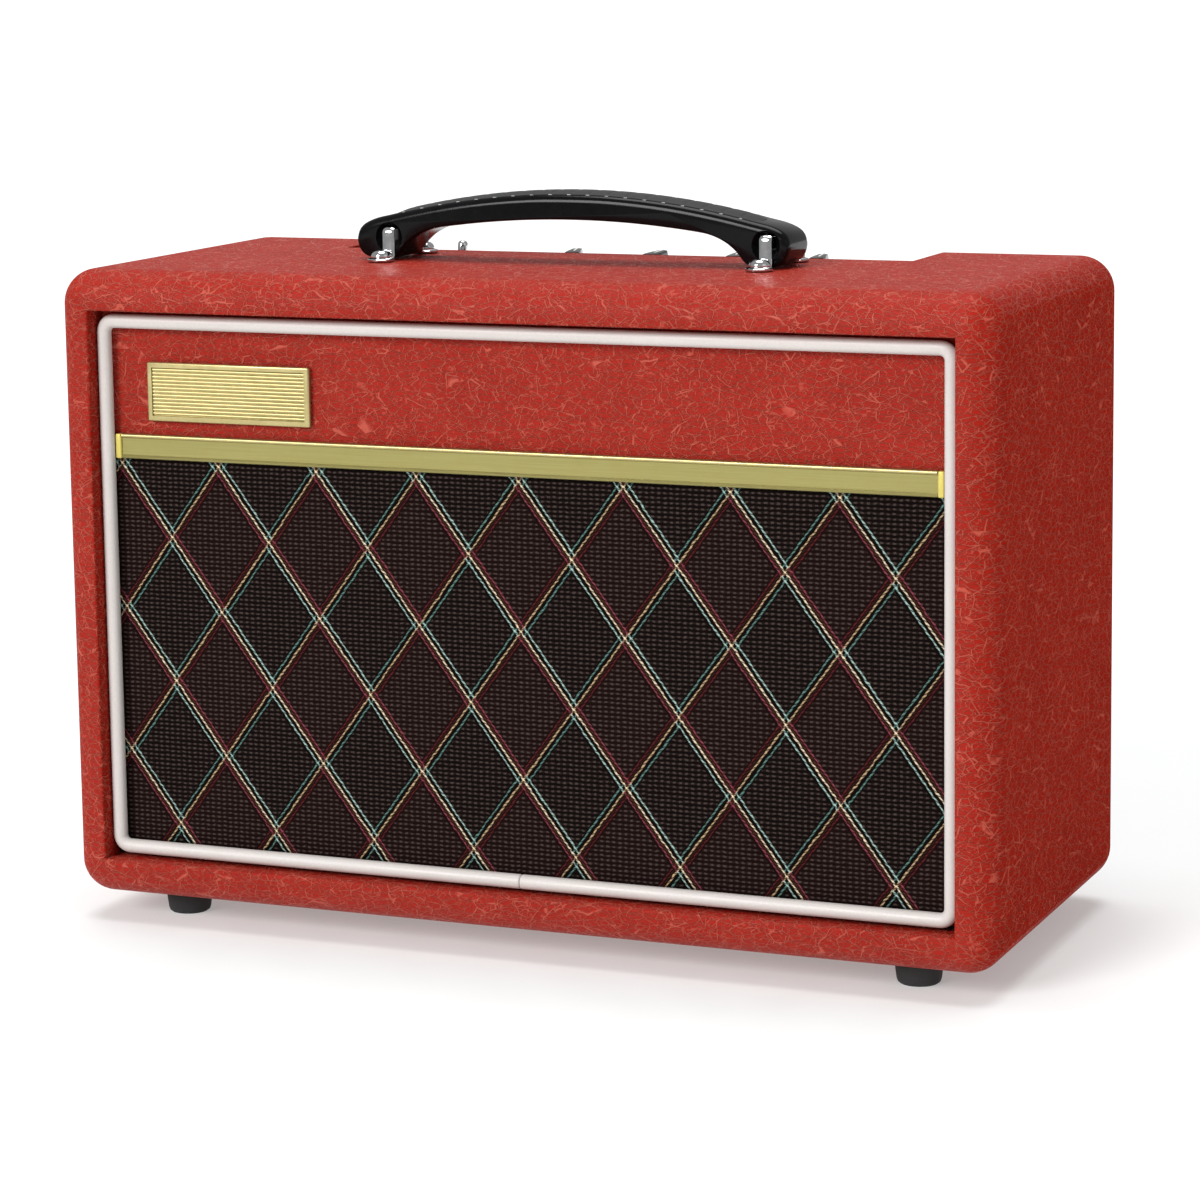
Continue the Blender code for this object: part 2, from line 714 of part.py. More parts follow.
def make_controls():
    """Pots and knobs, jacks, the lamp, the power toggle and the overdrive button."""
    under = CHASSIS_TOP - STEEL - GAP
    for word, x in KNOB_X.items():
        bore_floor = PANEL_TOP - 0.0085
        profile = [(0, bore_floor), (BORE_RADIUS, bore_floor), (BORE_RADIUS, PANEL_TOP + 0.0014)]
        profile += [(0.0039, PANEL_TOP + 0.0014), (0.0039, under), (0.0080, under)]
        profile += [(0.0080, under - 0.0080), (0, under - 0.0080)]
        lathe(f"{word}_pot", profile, STEEL_SCREW, (x, CONTROL_Y, 0))
        make_knob(word, x)
    for name, x in (("phones_jack", PHONES_X), ("input_jack", INPUT_X)):
        floor = PANEL_TOP - 0.0180
        profile = [(0, floor), (BORE_RADIUS, floor), (BORE_RADIUS, PANEL_TOP + 0.0025)]
        profile += [(0.0060, PANEL_TOP + 0.0025), (0.0065, PANEL_TOP + GAP), (0.0044, PANEL_TOP + GAP)]
        profile += [(0.0044, under), (0.0075, under), (0.0075, under - 0.0200), (0, under - 0.0200)]
        lathe(name, profile, BLACK, (x, CONTROL_Y, 0))
    lamp = [(0, PANEL_TOP + 0.0030), (0.0018, PANEL_TOP + 0.0024), (0.0025, PANEL_TOP + 0.0008)]
    lamp += [(0.0025, under - 0.0020), (0, under - 0.0020)]
    lathe("power_lamp", lamp, LAMP, (LED_X, CONTROL_Y, 0), sides=12)
    make_toggle(under)
    make_button(under)


def make_knob(word, x):
    """A pointer knob on the shaft that runs down into its pot."""
    round_end = [radians(-125 + 25 * step) for step in range(11)]
    outline = [(0.0080 * cos(angle), 0.0080 * sin(angle)) for angle in round_end]
    outline += [(-0.0152, 0.0015), (-0.0152, -0.0015)]
    knob = part(f"{word}_knob", prism(outline, PANEL_TOP + 0.0020, PANEL_TOP + KNOB_TOP), BLACK_GLOSS)
    shaft = rod((0, 0, PANEL_TOP - 0.0015), SHAFT_RADIUS, 0.0130, sides=14)
    tool = hide_cutter(add_mesh(f"{word}_shaft", shaft, None, CUTTERS))
    combine(knob, tool, "UNION")
    for made in (knob, tool):
        made.location = (x, CONTROL_Y, 0)
        made.rotation_euler = (0, 0, -radians(KNOB_TURN[word]))


def make_toggle(under):
    """A bat switch: the body with its threaded neck, and the lever that tips about X."""
    profile = [(0, PANEL_TOP + 0.0035), (0.0030, PANEL_TOP + 0.0035), (0.0030, under)]
    profile += [(0.0062, under), (0.0062, under - 0.0120), (0, under - 0.0120)]
    lathe("power_switch", profile, CHROME, (TOGGLE_X, CONTROL_Y, 0))
    lever = [(0, 0.0140), (0.0014, 0.0138), (0.0021, 0.0125), (0.0012, 0.0023), (0, 0.0023)]
    pivot = (TOGGLE_X, CONTROL_Y, PANEL_TOP + 0.0020)
    made = lathe("power_toggle", lever, CHROME, pivot, sides=12)
    made.rotation_euler = (radians(-12), 0, 0)


def make_button(under):
    """A push switch with a collar above the panel, and the button that sinks into it."""
    floor = PANEL_TOP - 0.0070
    profile = [(0, floor), (0.0038, floor), (0.0038, PANEL_TOP + 0.0020), (0.0052, PANEL_TOP + 0.0020)]
    profile += [(0.0052, under), (0.0062, under), (0.0062, under - 0.0120), (0, under - 0.0120)]
    lathe("overdrive_switch", profile, BLACK, (BUTTON_X, CONTROL_Y, 0))
    top, low = PANEL_TOP + 0.0055, PANEL_TOP - 0.0020
    button = [(0, top), (0.0028, top), (0.0033, top - 0.0006), (0.0033, low), (0, low)]
    lathe("overdrive_button", button, BLACK_GLOSS, (BUTTON_X, CONTROL_Y, 0), sides=14)


def make_transformer():
    """A laminated core standing on the floor board, and the winding round its middle limb."""
    x, y = TRANSFORMER_X, TRANSFORMER_Y
    wide, deep, tall = CORE
    low = BASE + BOARD_INNER + GAP
    core = box(
        "transformer_core",
        (x - wide / 2, y - deep / 2, low),
        (x + wide / 2, y + deep / 2, low + tall),
        LAMINATION,
    )
    bottom, top = low + LIMB, low + tall - LIMB
    for side in (-1, 1):
        xs = sorted((x + side * CENTRE_LIMB / 2, x + side * (wide / 2 - LIMB)))
        name = f"core_window_{'left' if side < 0 else 'right'}"
        combine(core, box_cutter(name, (xs[0], y - 0.05, bottom), (xs[1], y + 0.05, top)))
    outer = wide / 2 - LIMB - GAP
    winding = box(
        "transformer_winding",
        (x - outer, y - WINDING_DEPTH, bottom + GAP),
        (x + outer, y + WINDING_DEPTH, top - GAP),
        COPPER,
    )
    inner, inner_deep = CENTRE_LIMB / 2 + GAP, deep / 2 + GAP
    tunnel = box_cutter(
        "winding_tunnel", (x - inner, y - inner_deep, 0), (x + inner, y + inner_deep, TOP)
    )
    combine(winding, tunnel)


clear_scene()
PARTS = collection("guitar_amplifier")
CUTTERS = collection("cutters", hidden=True)
VINYL = material("red_vinyl", (0.420, 0.028, 0.020), 0.55)
WOOD = material("plywood", (0.520, 0.360, 0.200), 0.70)
DARK_BOARD = material("black_board", (0.020, 0.018, 0.017), 0.80)
CLOTH = material("grille_cloth", (0.030, 0.020, 0.017), 0.90)
GOLD = material("gold_trim", (0.720, 0.560, 0.260), 0.32, 1.0)
PIPING = material("white_piping", (0.780, 0.740, 0.720), 0.45)
BLACK = material("black_plastic", (0.015, 0.015, 0.016), 0.45)
BLACK_GLOSS = material("gloss_black", (0.012, 0.012, 0.013), 0.18)
CHROME = material("chrome", (0.800, 0.800, 0.820), 0.08, 1.0)
RUBBER = material("rubber", (0.018, 0.018, 0.018), 0.80)
STEEL_PLATE = material("steel_plate", (0.420, 0.430, 0.440), 0.40, 1.0)
STEEL_SCREW = material("plated_steel", (0.520, 0.520, 0.530), 0.30, 1.0)
PANEL_BLACK = material("control_panel", (0.016, 0.016, 0.018), 0.35)
PCB = material("circuit_board", (0.030, 0.180, 0.070), 0.50)
LAMINATION = material("laminated_core", (0.140, 0.140, 0.150), 0.55, 0.8)
COPPER = material("winding", (0.500, 0.200, 0.070), 0.45, 0.6)
BASKET = material("painted_basket", (0.022, 0.022, 0.024), 0.40)
PAPER = material("speaker_paper", (0.030, 0.028, 0.027), 0.85)
SPIDER = material("spider_cloth", (0.420, 0.250, 0.080), 0.85)
MAGNET = material("ferrite", (0.050, 0.050, 0.052), 0.60)
LAMP = material("lamp_red", (0.500, 0.020, 0.015), 0.15)

make_cabinet()
make_front()
make_rear()
make_feet()
make_handle()
make_speaker()
make_chassis()
make_controls()
make_transformer()
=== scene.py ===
"""The looks of a small guitar combo amplifier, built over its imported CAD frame.

Metres, +Z up, the grille faces -Y. The CAD frame fixes every size and joint. Here the covering,
cloth, piping, trim, handle, knobs and screws get their finished shapes, and all get materials.
"""

from math import cos, pi, radians, sin

import bmesh
import bpy
from mathutils import Matrix, Vector


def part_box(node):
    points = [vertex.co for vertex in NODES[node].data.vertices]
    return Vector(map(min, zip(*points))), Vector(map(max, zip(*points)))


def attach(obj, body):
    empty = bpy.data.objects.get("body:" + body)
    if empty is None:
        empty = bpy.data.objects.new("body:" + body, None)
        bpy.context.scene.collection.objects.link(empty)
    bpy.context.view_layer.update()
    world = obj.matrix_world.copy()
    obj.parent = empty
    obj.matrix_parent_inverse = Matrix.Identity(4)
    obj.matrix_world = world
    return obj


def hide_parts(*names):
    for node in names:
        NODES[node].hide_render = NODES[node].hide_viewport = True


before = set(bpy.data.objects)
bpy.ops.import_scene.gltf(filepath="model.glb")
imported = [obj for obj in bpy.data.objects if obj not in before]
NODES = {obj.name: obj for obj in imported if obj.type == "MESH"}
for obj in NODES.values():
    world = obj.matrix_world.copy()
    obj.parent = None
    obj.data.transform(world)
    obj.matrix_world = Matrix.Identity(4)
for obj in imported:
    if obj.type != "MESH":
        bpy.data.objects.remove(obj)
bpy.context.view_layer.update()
MM = 0.001

# Cabinet sizes, as in the CAD.
WIDTH, DEPTH, HEIGHT = 0.380, 0.170, 0.248
BASE = 0.010
TOP = BASE + HEIGHT
MIDDLE = (BASE + TOP) / 2
FRONT, REAR = -DEPTH / 2, DEPTH / 2
EDGE_ROUND = 0.0135
SKIN = 0.0009
LIP_INSET = 0.0154
LIP_END = -0.0731
PANEL_REST = 0.0725
RECESS_X, RECESS_FRONT, PANEL_TOP = 0.1210, 0.0340, 0.2435
CLOTH_FRONT, FASCIA_BACK = -0.0741, -0.0744

# The handle's middle, the height of its crown and underside above the top, and how they bend.
HANDLE_X, HANDLE_Y = -0.0030, -0.0018
HANDLE_HALF = 0.0118
HANDLE_CROWN, HANDLE_CROWN_BEND = 0.0270, 1.60
HANDLE_UNDER, HANDLE_UNDER_BEND = 0.0170, 1.30
STRAP_X = 0.0786

FOOT_X, FOOT_Y = 0.1526, 0.057
REAR_SCREW_Y = 0.0788

# The controls, in one row from left to right, and each knob's turn at rest in degrees.
CONTROL_Y = 0.0585
LAMP_X, TOGGLE_X, PHONES_X, BUTTON_X, INPUT_X = -0.101, -0.0815, -0.058, 0.0925, 0.109
KNOB_X = {"gain": -0.031, "treble": 0.004, "bass": 0.039, "volume": 0.074}
KNOB_TURN = {"gain": 75, "treble": 86, "bass": 80, "volume": 80}


# ---------------------------------------------------------------- node helpers
def add(tree, kind, inputs=None, **settings):
    """One shader node. An input is a plain value, or the socket it is linked from."""
    node = tree.nodes.new("ShaderNode" + kind)
    for key, value in settings.items():
        setattr(node, key, value)
    for key, value in (inputs or {}).items():
        if isinstance(value, bpy.types.NodeSocket):
            tree.links.new(value, node.inputs[key])
        else:
            node.inputs[key].default_value = value
    return node


def math(tree, operation, first, second=0.0, third=0.0):
    made = add(tree, "Math", {0: first, 1: second, 2: third}, operation=operation)
    return made.outputs[0]


def mix(tree, amount, first, second):
    """A colour between two, each a socket or (r, g, b)."""
    ends = [c if isinstance(c, bpy.types.NodeSocket) else (*c, 1.0) for c in (first, second)]
    made = add(tree, "Mix", {0: amount, 6: ends[0], 7: ends[1]}, data_type="RGBA")
    return made.outputs[2]


def remap(tree, value, low, high, to_low=0.0, to_high=1.0, smooth=False):
    kind = "SMOOTHSTEP" if smooth else "LINEAR"
    inputs = {"Value": value, "From Min": low, "From Max": high, "To Min": to_low, "To Max": to_high}
    return add(tree, "MapRange", inputs, interpolation_type=kind).outputs["Result"]


def noise(tree, place, scale, detail=3.0, roughness=0.5, distortion=0.0):
    inputs = {"Vector": place, "Scale": scale, "Detail": detail, "Roughness": roughness}
    inputs["Distortion"] = distortion
    return add(tree, "TexNoise", inputs).outputs["Fac"]


def stretched(tree, place, x, y, z):
    return add(tree, "Mapping", {"Vector": place, "Scale": (x, y, z)}).outputs["Vector"]


def wandering(tree, place, scale, detail, reach):
    """place, pushed about by noise, by up to half of reach each way."""
    wobble = add(tree, "TexNoise", {"Vector": place, "Scale": scale, "Detail": detail}).outputs["Color"]
    swing = add(tree, "VectorMath", {0: wobble, 1: (0.5, 0.5, 0.5)}, operation="SUBTRACT").outputs[0]
    push = add(tree, "VectorMath", {0: swing, "Scale": reach}, operation="SCALE").outputs[0]
    return add(tree, "VectorMath", {0: place, 1: push}, operation="ADD").outputs[0]


def off_middle(tree, value):
    """How far value's fraction is from a half."""
    return math(tree, "ABSOLUTE", math(tree, "SUBTRACT", math(tree, "FRACT", value), 0.5))


def past_nearest(tree, value, scale):
    """How far value is past its nearest whole number, times scale."""
    return math(tree, "MULTIPLY", math(tree, "SUBTRACT", value, math(tree, "ROUND", value)), scale)


def start(name, roughness, metallic=0.0, **sockets):
    """A new material: (material, node tree, its shader, object coordinates in millimetres)."""
    made = bpy.data.materials.new(name)
    made.use_nodes = True
    tree = made.node_tree
    shader = tree.nodes["Principled BSDF"]
    shader.inputs["Roughness"].default_value = roughness
    shader.inputs["Metallic"].default_value = metallic
    for key, value in sockets.items():
        shader.inputs[key.replace("_", " ")].default_value = value
    place = add(tree, "TexCoord").outputs["Object"]
    return made, tree, shader, stretched(tree, place, 1000.0, 1000.0, 1000.0)


def link(tree, socket, shader, name):
    tree.links.new(socket, shader.inputs[name])


def bump(tree, shader, height, distance, strength=1.0, below=None):
    """Adds relief, distance in metres. below is an earlier bump's output, if there is one."""
    inputs = {"Height": height, "Distance": distance, "Strength": strength}
    if below:
        inputs["Normal"] = below
    made = add(tree, "Bump", inputs).outputs["Normal"]
    link(tree, made, shader, "Normal")
    return made


# ---------------------------------------------------------------- materials
def plain(name, dark, light, roughness, metallic=0.0, grain=0.6, relief=0.02, streak=(1, 1, 1), **more):
    """A finish with fine grain, slow tone changes and uneven gloss. Sizes in millimetres."""
    made, tree, shader, place = start(name, roughness, metallic, **more)
    fine = noise(tree, stretched(tree, place, *streak), 1.0 / grain, 4.0, 0.6)
    slow = noise(tree, place, 0.04, 2.0)
    tone = math(tree, "ADD", math(tree, "MULTIPLY", fine, 0.6), math(tree, "MULTIPLY", slow, 0.4))
    colour = mix(tree, remap(tree, tone, 0.30, 0.70), dark, light)
    link(tree, colour, shader, "Base Color")
    gloss = remap(tree, slow, 0.3, 0.7, roughness * 0.85, min(roughness * 1.2, 1.0))
    smudge = noise(tree, place, 0.25, 5.0, 0.65, 0.6)
    gloss = math(tree, "ADD", gloss, remap(tree, smudge, 0.35, 0.75, -0.03, 0.05))
    link(tree, gloss, shader, "Roughness")
    bump(tree, shader, fine, relief * MM, 0.6)
    return made


# Each net of creases: cells per millimetre, half a crease's width in millimetres, and its strength.
CREASES = ((0.18, 0.15, 1.0), (0.32, 0.14, 0.95), (0.60, 0.13, 0.55))
CREASE_STRETCH = (0.55, 0.4, 1.25)
PEBBLE_STRETCH, PEBBLE_SCALE = (0.8, 1, 1.2), 1.35
FOLD_SUM = 200.0
FOLD_TOP, FOLD_BACK = (22.0, 25.0), (-79.0, -77.0)


def crease_net(tree, place):
    """1 on a crease and 0 between them: broken cell edges of three sizes."""
    net = 0.0
    for scale, half_width, share in CREASES:
        moved = wandering(tree, place, scale * 0.9, 1.0, 0.42 / scale)
        inputs = {"Vector": stretched(tree, moved, *CREASE_STRETCH), "Scale": scale}
        cells = add(tree, "TexVoronoi", inputs, feature="DISTANCE_TO_EDGE").outputs["Distance"]
        breaks = noise(tree, place, scale * 1.5, 2.0)
        width = half_width * scale
        line = remap(tree, cells, 0.25 * width, 1.3 * width, 1.0, 0.0, smooth=True)
        line = math(tree, "MULTIPLY", line, remap(tree, breaks, 0.26, 0.46, smooth=True))
        net = math(tree, "MAXIMUM", net, math(tree, "MULTIPLY", line, share))
    return net


def corner_folds(tree, place):
    """A ridge where |x| + z is FOLD_SUM, below FOLD_TOP and in front of FOLD_BACK."""
    x, y, z = add(tree, "SeparateXYZ", {0: place}).outputs
    fold = math(tree, "SUBTRACT", math(tree, "ADD", math(tree, "ABSOLUTE", x), z), FOLD_SUM)
    fold = remap(tree, math(tree, "ABSOLUTE", fold), 0.12, 0.50, 1.0, 0.0, smooth=True)
    fold = math(tree, "MULTIPLY", fold, remap(tree, z, *FOLD_TOP, 1.0, 0.0))
    return math(tree, "MULTIPLY", fold, remap(tree, y, *FOLD_BACK, 1.0, 0.0))


def red_vinyl(name="red_vinyl", gloss=0.10):
    """Embossed leathercloth: fine raised creases over soft pebbles, folded at two front corners."""
    made, tree, shader, place = start(name, 0.5)
    shader.inputs["Specular IOR Level"].default_value = gloss
    net = math(tree, "MAXIMUM", crease_net(tree, place), corner_folds(tree, place))
    inputs = {"Vector": stretched(tree, place, *PEBBLE_STRETCH), "Scale": PEBBLE_SCALE}
    pebbles = add(tree, "TexVoronoi", inputs, feature="SMOOTH_F1").outputs["Distance"]
    pores = noise(tree, place, 2.6, 2.0, 0.6)
    low = math(tree, "MULTIPLY", pebbles, remap(tree, pores, 0.35, 0.65, 0.5, 1.0))
    slow = noise(tree, place, 0.05, 2.0)
    base = mix(tree, remap(tree, slow, 0.3, 0.7), (0.305, 0.0128, 0.0068), (0.345, 0.0160, 0.0085))
    # Darker in the grooves between the pebbles: painted shade in the hollows.
    base = mix(tree, remap(tree, low, 0.28, 0.70, 0.0, 0.32), base, (0.160, 0.0055, 0.0030))
    # The creases and corner folds are painted lighter: a painted highlight on the raised ridges.
    crease_highlight = mix(tree, math(tree, "MULTIPLY", net, 0.46), base, (0.580, 0.150, 0.100))
    link(tree, crease_highlight, shader, "Base Color")
    link(tree, remap(tree, net, 0.0, 1.0, 0.50, 0.34), shader, "Roughness")
    first = bump(tree, shader, net, 0.45 * MM, 1.0)
    bump(tree, shader, math(tree, "SUBTRACT", 1.0, low), 0.12 * MM, 0.7, below=first)
    return made


# The cloth's lattice, in millimetres: half a diamond each way, and where one crossing lies.
CLOTH_X, CLOTH_Z = 21.10, 28.46
CLOTH_ORIGIN = (-146.42, 181.87)
ROW_PITCH, DASH_PITCH = 1.78, 2.46
# Thread colours of each band: its middle, then the side threads in pale, pink and brown.
RISE_TINTS = ((0.52, 0.37, 0.21), (0.11, 0.22, 0.19), (0.095, 0.014, 0.018), (0.045, 0.012, 0.008))
FALL_TINTS = ((0.80, 0.66, 0.46), (0.36, 0.52, 0.46), (0.230, 0.050, 0.070), (0.080, 0.024, 0.014))


def cloth_ground(tree, x, rows, fibre, maroon, fall, rise):
    """The cloth between the bands: (its dashes, its colour)."""
    dots = off_middle(tree, math(tree, "DIVIDE", x, DASH_PITCH))
    dots = remap(tree, dots, 0.10, 0.36, 1.0, 0.16, smooth=True)
    level = remap(tree, off_middle(tree, rows), 0.08, 0.30, 1.0, 0.0, smooth=True)
    dash = math(tree, "MULTIPLY", dots, level)
    lanes = [math(tree, "ABSOLUTE", past_nearest(tree, lane, 2 * CLOTH_X)) for lane in (fall, rise)]
    away = remap(tree, math(tree, "MINIMUM", *lanes), 3.2, 4.0, smooth=True)
    worn = remap(tree, fibre, 0.25, 0.62, 0.35, 1.0)
    dash = math(tree, "MULTIPLY", math(tree, "MULTIPLY", dash, away), worn)
    ground = mix(tree, fibre, (0.0014, 0.0006, 0.0005), (0.0046, 0.0020, 0.0016))
    ground = mix(tree, math(tree, "MULTIPLY", maroon, 0.45), ground, (0.0110, 0.0030, 0.0024))
    return dash, mix(tree, dash, ground, (0.074, 0.052, 0.046))


def grille_material():
    """Woven cloth: rows of short dashes on near-black, crossed by a lattice of bright bands."""
    made, tree, shader, place = start("grille_cloth", 0.88)
    shader.inputs["Specular IOR Level"].default_value = 0.05
    moved = wandering(tree, place, 0.45, 3.0, 1.1)
    x, _, z = add(tree, "SeparateXYZ", {0: moved}).outputs
    u = math(tree, "DIVIDE", math(tree, "SUBTRACT", x, CLOTH_ORIGIN[0]), CLOTH_X)
    v = math(tree, "DIVIDE", math(tree, "SUBTRACT", z, CLOTH_ORIGIN[1]), CLOTH_Z)
    fall = math(tree, "MULTIPLY", math(tree, "SUBTRACT", math(tree, "ADD", u, v), 1.0), 0.5)
    rise = math(tree, "MULTIPLY", math(tree, "SUBTRACT", math(tree, "SUBTRACT", u, v), 1.0), 0.5)
    cells = math(tree, "ADD", math(tree, "FLOOR", fall), math(tree, "FLOOR", rise))
    maroon = math(tree, "FLOORED_MODULO", cells, 2.0)
    rows = math(tree, "DIVIDE", z, ROW_PITCH)
    fibre = noise(tree, stretched(tree, moved, 1.6, 1.0, 0.9), 2.6, 3.0, 0.7)
    dash, colour = cloth_ground(tree, x, rows, fibre, maroon, fall, rise)
    height = math(tree, "MULTIPLY", dash, 0.55)
    for lane, shift, slope, tints in ((rise, 0.0, -0.38, RISE_TINTS), (fall, 0.6, 0.38, FALL_TINTS)):
        gap = math(tree, "SUBTRACT", past_nearest(tree, lane, 2 * CLOTH_X), shift)
        size = math(tree, "ABSOLUTE", gap)
        bead = off_middle(tree, math(tree, "MULTIPLY_ADD", gap, slope, rows))
        bead = remap(tree, bead, 0.20, 0.46, 1.0, 0.12, smooth=True)
        centre_tint, teal_tint, pink_tint, brown_tint = tints
        side_tint = mix(tree, maroon, teal_tint, pink_tint)
        between = math(tree, "MULTIPLY", maroon, remap(tree, fibre, 0.3, 0.6, 0.5, 1.0))
        threads = ((0.0, centre_tint, 1.0), (2.45, side_tint, 1.0), (1.30, brown_tint, between))
        for offset, tint, amount in threads:
            beside = math(tree, "ABSOLUTE", math(tree, "SUBTRACT", size, offset))
            mask = remap(tree, beside, 0.20, 0.58, 1.0, 0.0, smooth=True)
            mask = math(tree, "MULTIPLY", math(tree, "MULTIPLY", mask, amount), bead)
            strong = math(tree, "MULTIPLY", mask, remap(tree, fibre, 0.2, 0.6, 0.60, 1.0))
            colour = mix(tree, strong, colour, tint)
            height = math(tree, "MAXIMUM", height, strong)
    link(tree, colour, shader, "Base Color")
    bump(tree, shader, height, 0.35 * MM, 0.8)
    return made


def plywood():
    """Birch ply seen along its faces: long wandering grain."""
    made, tree, shader, place = start("plywood", 0.7)
    grain = noise(tree, stretched(tree, place, 0.05, 0.6, 0.6), 1.0, 5.0, 0.6, 0.8)
    pores = noise(tree, stretched(tree, place, 0.15, 2.0, 2.0), 1.0, 3.0)
    colour = mix(tree, remap(tree, grain, 0.35, 0.65), (0.42, 0.26, 0.13), (0.62, 0.44, 0.25))
    colour = mix(tree, remap(tree, pores, 0.30, 0.45, 0.5, 0.0), colour, (0.25, 0.14, 0.07))
    link(tree, colour, shader, "Base Color")
    link(tree, remap(tree, grain, 0.3, 0.7, 0.62, 0.78), shader, "Roughness")
    bump(tree, shader, grain, 0.05 * MM, 0.5)
    return made


def gold_foil():
    """Gold-coloured trim with fine lengthwise brushing and a few dull patches."""
    made, tree, shader, place = start("gold_trim", 0.36, 0.75)
    lines = noise(tree, stretched(tree, place, 0.02, 3.0, 3.0), 1.0, 4.0, 0.7)
    patch = noise(tree, place, 0.08, 4.0, 0.6)
    colour = mix(tree, remap(tree, lines, 0.3, 0.7), (0.290, 0.255, 0.085), (0.360, 0.325, 0.120))
    colour = mix(tree, remap(tree, patch, 0.45, 0.75, 0.0, 0.35), colour, (0.25, 0.21, 0.06))
    link(tree, colour, shader, "Base Color")
    link(tree, remap(tree, patch, 0.3, 0.7, 0.30, 0.44), shader, "Roughness")
    bump(tree, shader, lines, 0.02 * MM, 0.5)
    return made


VINYL = red_vinyl()
# Faces turned towards the sides get copies of the vinyl with less and less sheen: painted shade, shaded
# copies of one material that take the reflection off the sides. Each step: the least |X| of a face's
# normal, and the gloss there.
SIDE_SHADE_STEPS = ((0.12, 0.072), (0.30, 0.046), (0.48, 0.028), (0.66, 0.016), (0.82, 0.007), (0.93, 0.0))
SIDE_SHADED_VINYL = [
    (least, red_vinyl(f"red_vinyl_side_shaded_{index}", gloss)) for index, (least, gloss) in enumerate(SIDE_SHADE_STEPS)
]
CLOTH = grille_material()
PLY = plywood()
GOLD = gold_foil()
PIPING = plain("white_piping", (0.54, 0.500, 0.475), (0.62, 0.580, 0.555), 0.42, grain=0.9, relief=0.02)
BLACK_BOARD = plain("black_board", (0.010, 0.009, 0.009), (0.024, 0.021, 0.020), 0.78, relief=0.08)
BLACK = plain("black_plastic", (0.010, 0.010, 0.011), (0.020, 0.020, 0.021), 0.42, relief=0.02)
GLOSS = plain(
    "gloss_black",
    (0.002, 0.002, 0.002),
    (0.004, 0.004, 0.005),
    0.15,
    relief=0.003,
    grain=1.5,
    Specular_IOR_Level=0.13,
)
PAD = plain("handle_pad_grain", (0.006, 0.006, 0.006), (0.016, 0.016, 0.016), 0.42, grain=0.8, relief=0.12)
STITCH = plain("stitch_thread", (0.32, 0.31, 0.30), (0.46, 0.45, 0.43), 0.7, grain=0.3, relief=0.03)
CHROME = plain("chrome", (0.50, 0.50, 0.51), (0.66, 0.66, 0.67), 0.10, 1.0, grain=2.0, relief=0.006)
RUBBER = plain("rubber", (0.012, 0.012, 0.012), (0.026, 0.026, 0.026), 0.8, relief=0.05)
STEEL = plain("steel_plate", (0.36, 0.37, 0.38), (0.47, 0.48, 0.49), 0.38, 1.0, streak=(0.1, 1, 1))
PLATED = plain("plated_steel", (0.46, 0.46, 0.46), (0.60, 0.60, 0.61), 0.28, 1.0, relief=0.01)
PANEL = plain("control_panel", (0.010, 0.010, 0.011), (0.018, 0.018, 0.020), 0.34, relief=0.01)
PRINT = plain("panel_print", (0.66, 0.66, 0.64), (0.76, 0.76, 0.74), 0.5, relief=0.005)
BOARD = plain("circuit_board", (0.020, 0.130, 0.050), (0.036, 0.200, 0.080), 0.48, relief=0.02)
LAMINATE = plain("laminated_core", (0.10, 0.10, 0.105), (0.20, 0.20, 0.21), 0.5, 0.8, streak=(0.1, 3, 0.1))
WINDING = plain("winding", (0.36, 0.13, 0.045), (0.56, 0.24, 0.09), 0.42, 0.6, streak=(0.1, 0.1, 3))
BASKET = plain("painted_basket", (0.014, 0.014, 0.015), (0.030, 0.030, 0.032), 0.4, relief=0.05)
PAPER = plain("speaker_paper", (0.020, 0.019, 0.018), (0.045, 0.042, 0.040), 0.85, relief=0.15)
SPIDER = plain("spider_cloth", (0.30, 0.17, 0.05), (0.46, 0.28, 0.10), 0.85, relief=0.10)
FERRITE = plain("ferrite", (0.030, 0.030, 0.032), (0.065, 0.065, 0.068), 0.6, relief=0.05)
LAMP = plain("lamp_red", (0.42, 0.012, 0.009), (0.56, 0.022, 0.016), 0.14, relief=0.004)
BADGE_GOLD = plain("badge_gold", (0.42, 0.350, 0.150), (0.54, 0.460, 0.220), 0.34, 0.80, 2.5, 0.001)
EDGE_GOLD = plain("gold_end", (0.56, 0.46, 0.10), (0.66, 0.56, 0.14), 0.4, 0.35, relief=0.01)
FLOOR_PAINT = plain(
    "floor_paint",
    (0.58, 0.58, 0.58),
    (0.60, 0.60, 0.60),
    0.85,
    relief=0.002,
    Emission_Color=(0.97, 1, 0.99, 1),
    Emission_Strength=0.31,
)


# ---------------------------------------------------------------- mesh helpers
def finish_mesh(obj, angle=35):
    for face in obj.data.polygons:
        face.use_smooth = True
    obj.data.set_sharp_from_angle(angle=radians(angle))


def piece(name, maker, stuff, body, stands_for=(), angle=35):
    """A finished piece from a bmesh, riding a body. It may stand for CAD nodes."""
    mesh = bpy.data.meshes.new(name)
    maker.to_mesh(mesh)
    maker.free()
    made = bpy.data.objects.new(name, mesh)
    bpy.context.scene.collection.objects.link(made)
    mesh.materials.append(stuff)
    finish_mesh(made, angle)
    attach(made, body)
    if stands_for:
        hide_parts(*stands_for)
    return made


def carve(target, maker):
    """Cuts a bmesh shape out of a piece, for good."""
    mesh = bpy.data.meshes.new("cutter")
    maker.to_mesh(mesh)
    maker.free()
    tool = bpy.data.objects.new("cutter", mesh)
    bpy.context.scene.collection.objects.link(tool)
    cut = target.modifiers.new("cut", "BOOLEAN")
    cut.object = tool
    cut.solver = "EXACT"
    graph = bpy.context.evaluated_depsgraph_get()
    solid = bpy.data.meshes.new_from_object(target.evaluated_get(graph))
    target.modifiers.clear()
    target.data = solid
    bpy.data.objects.remove(tool, do_unlink=True)
    return target


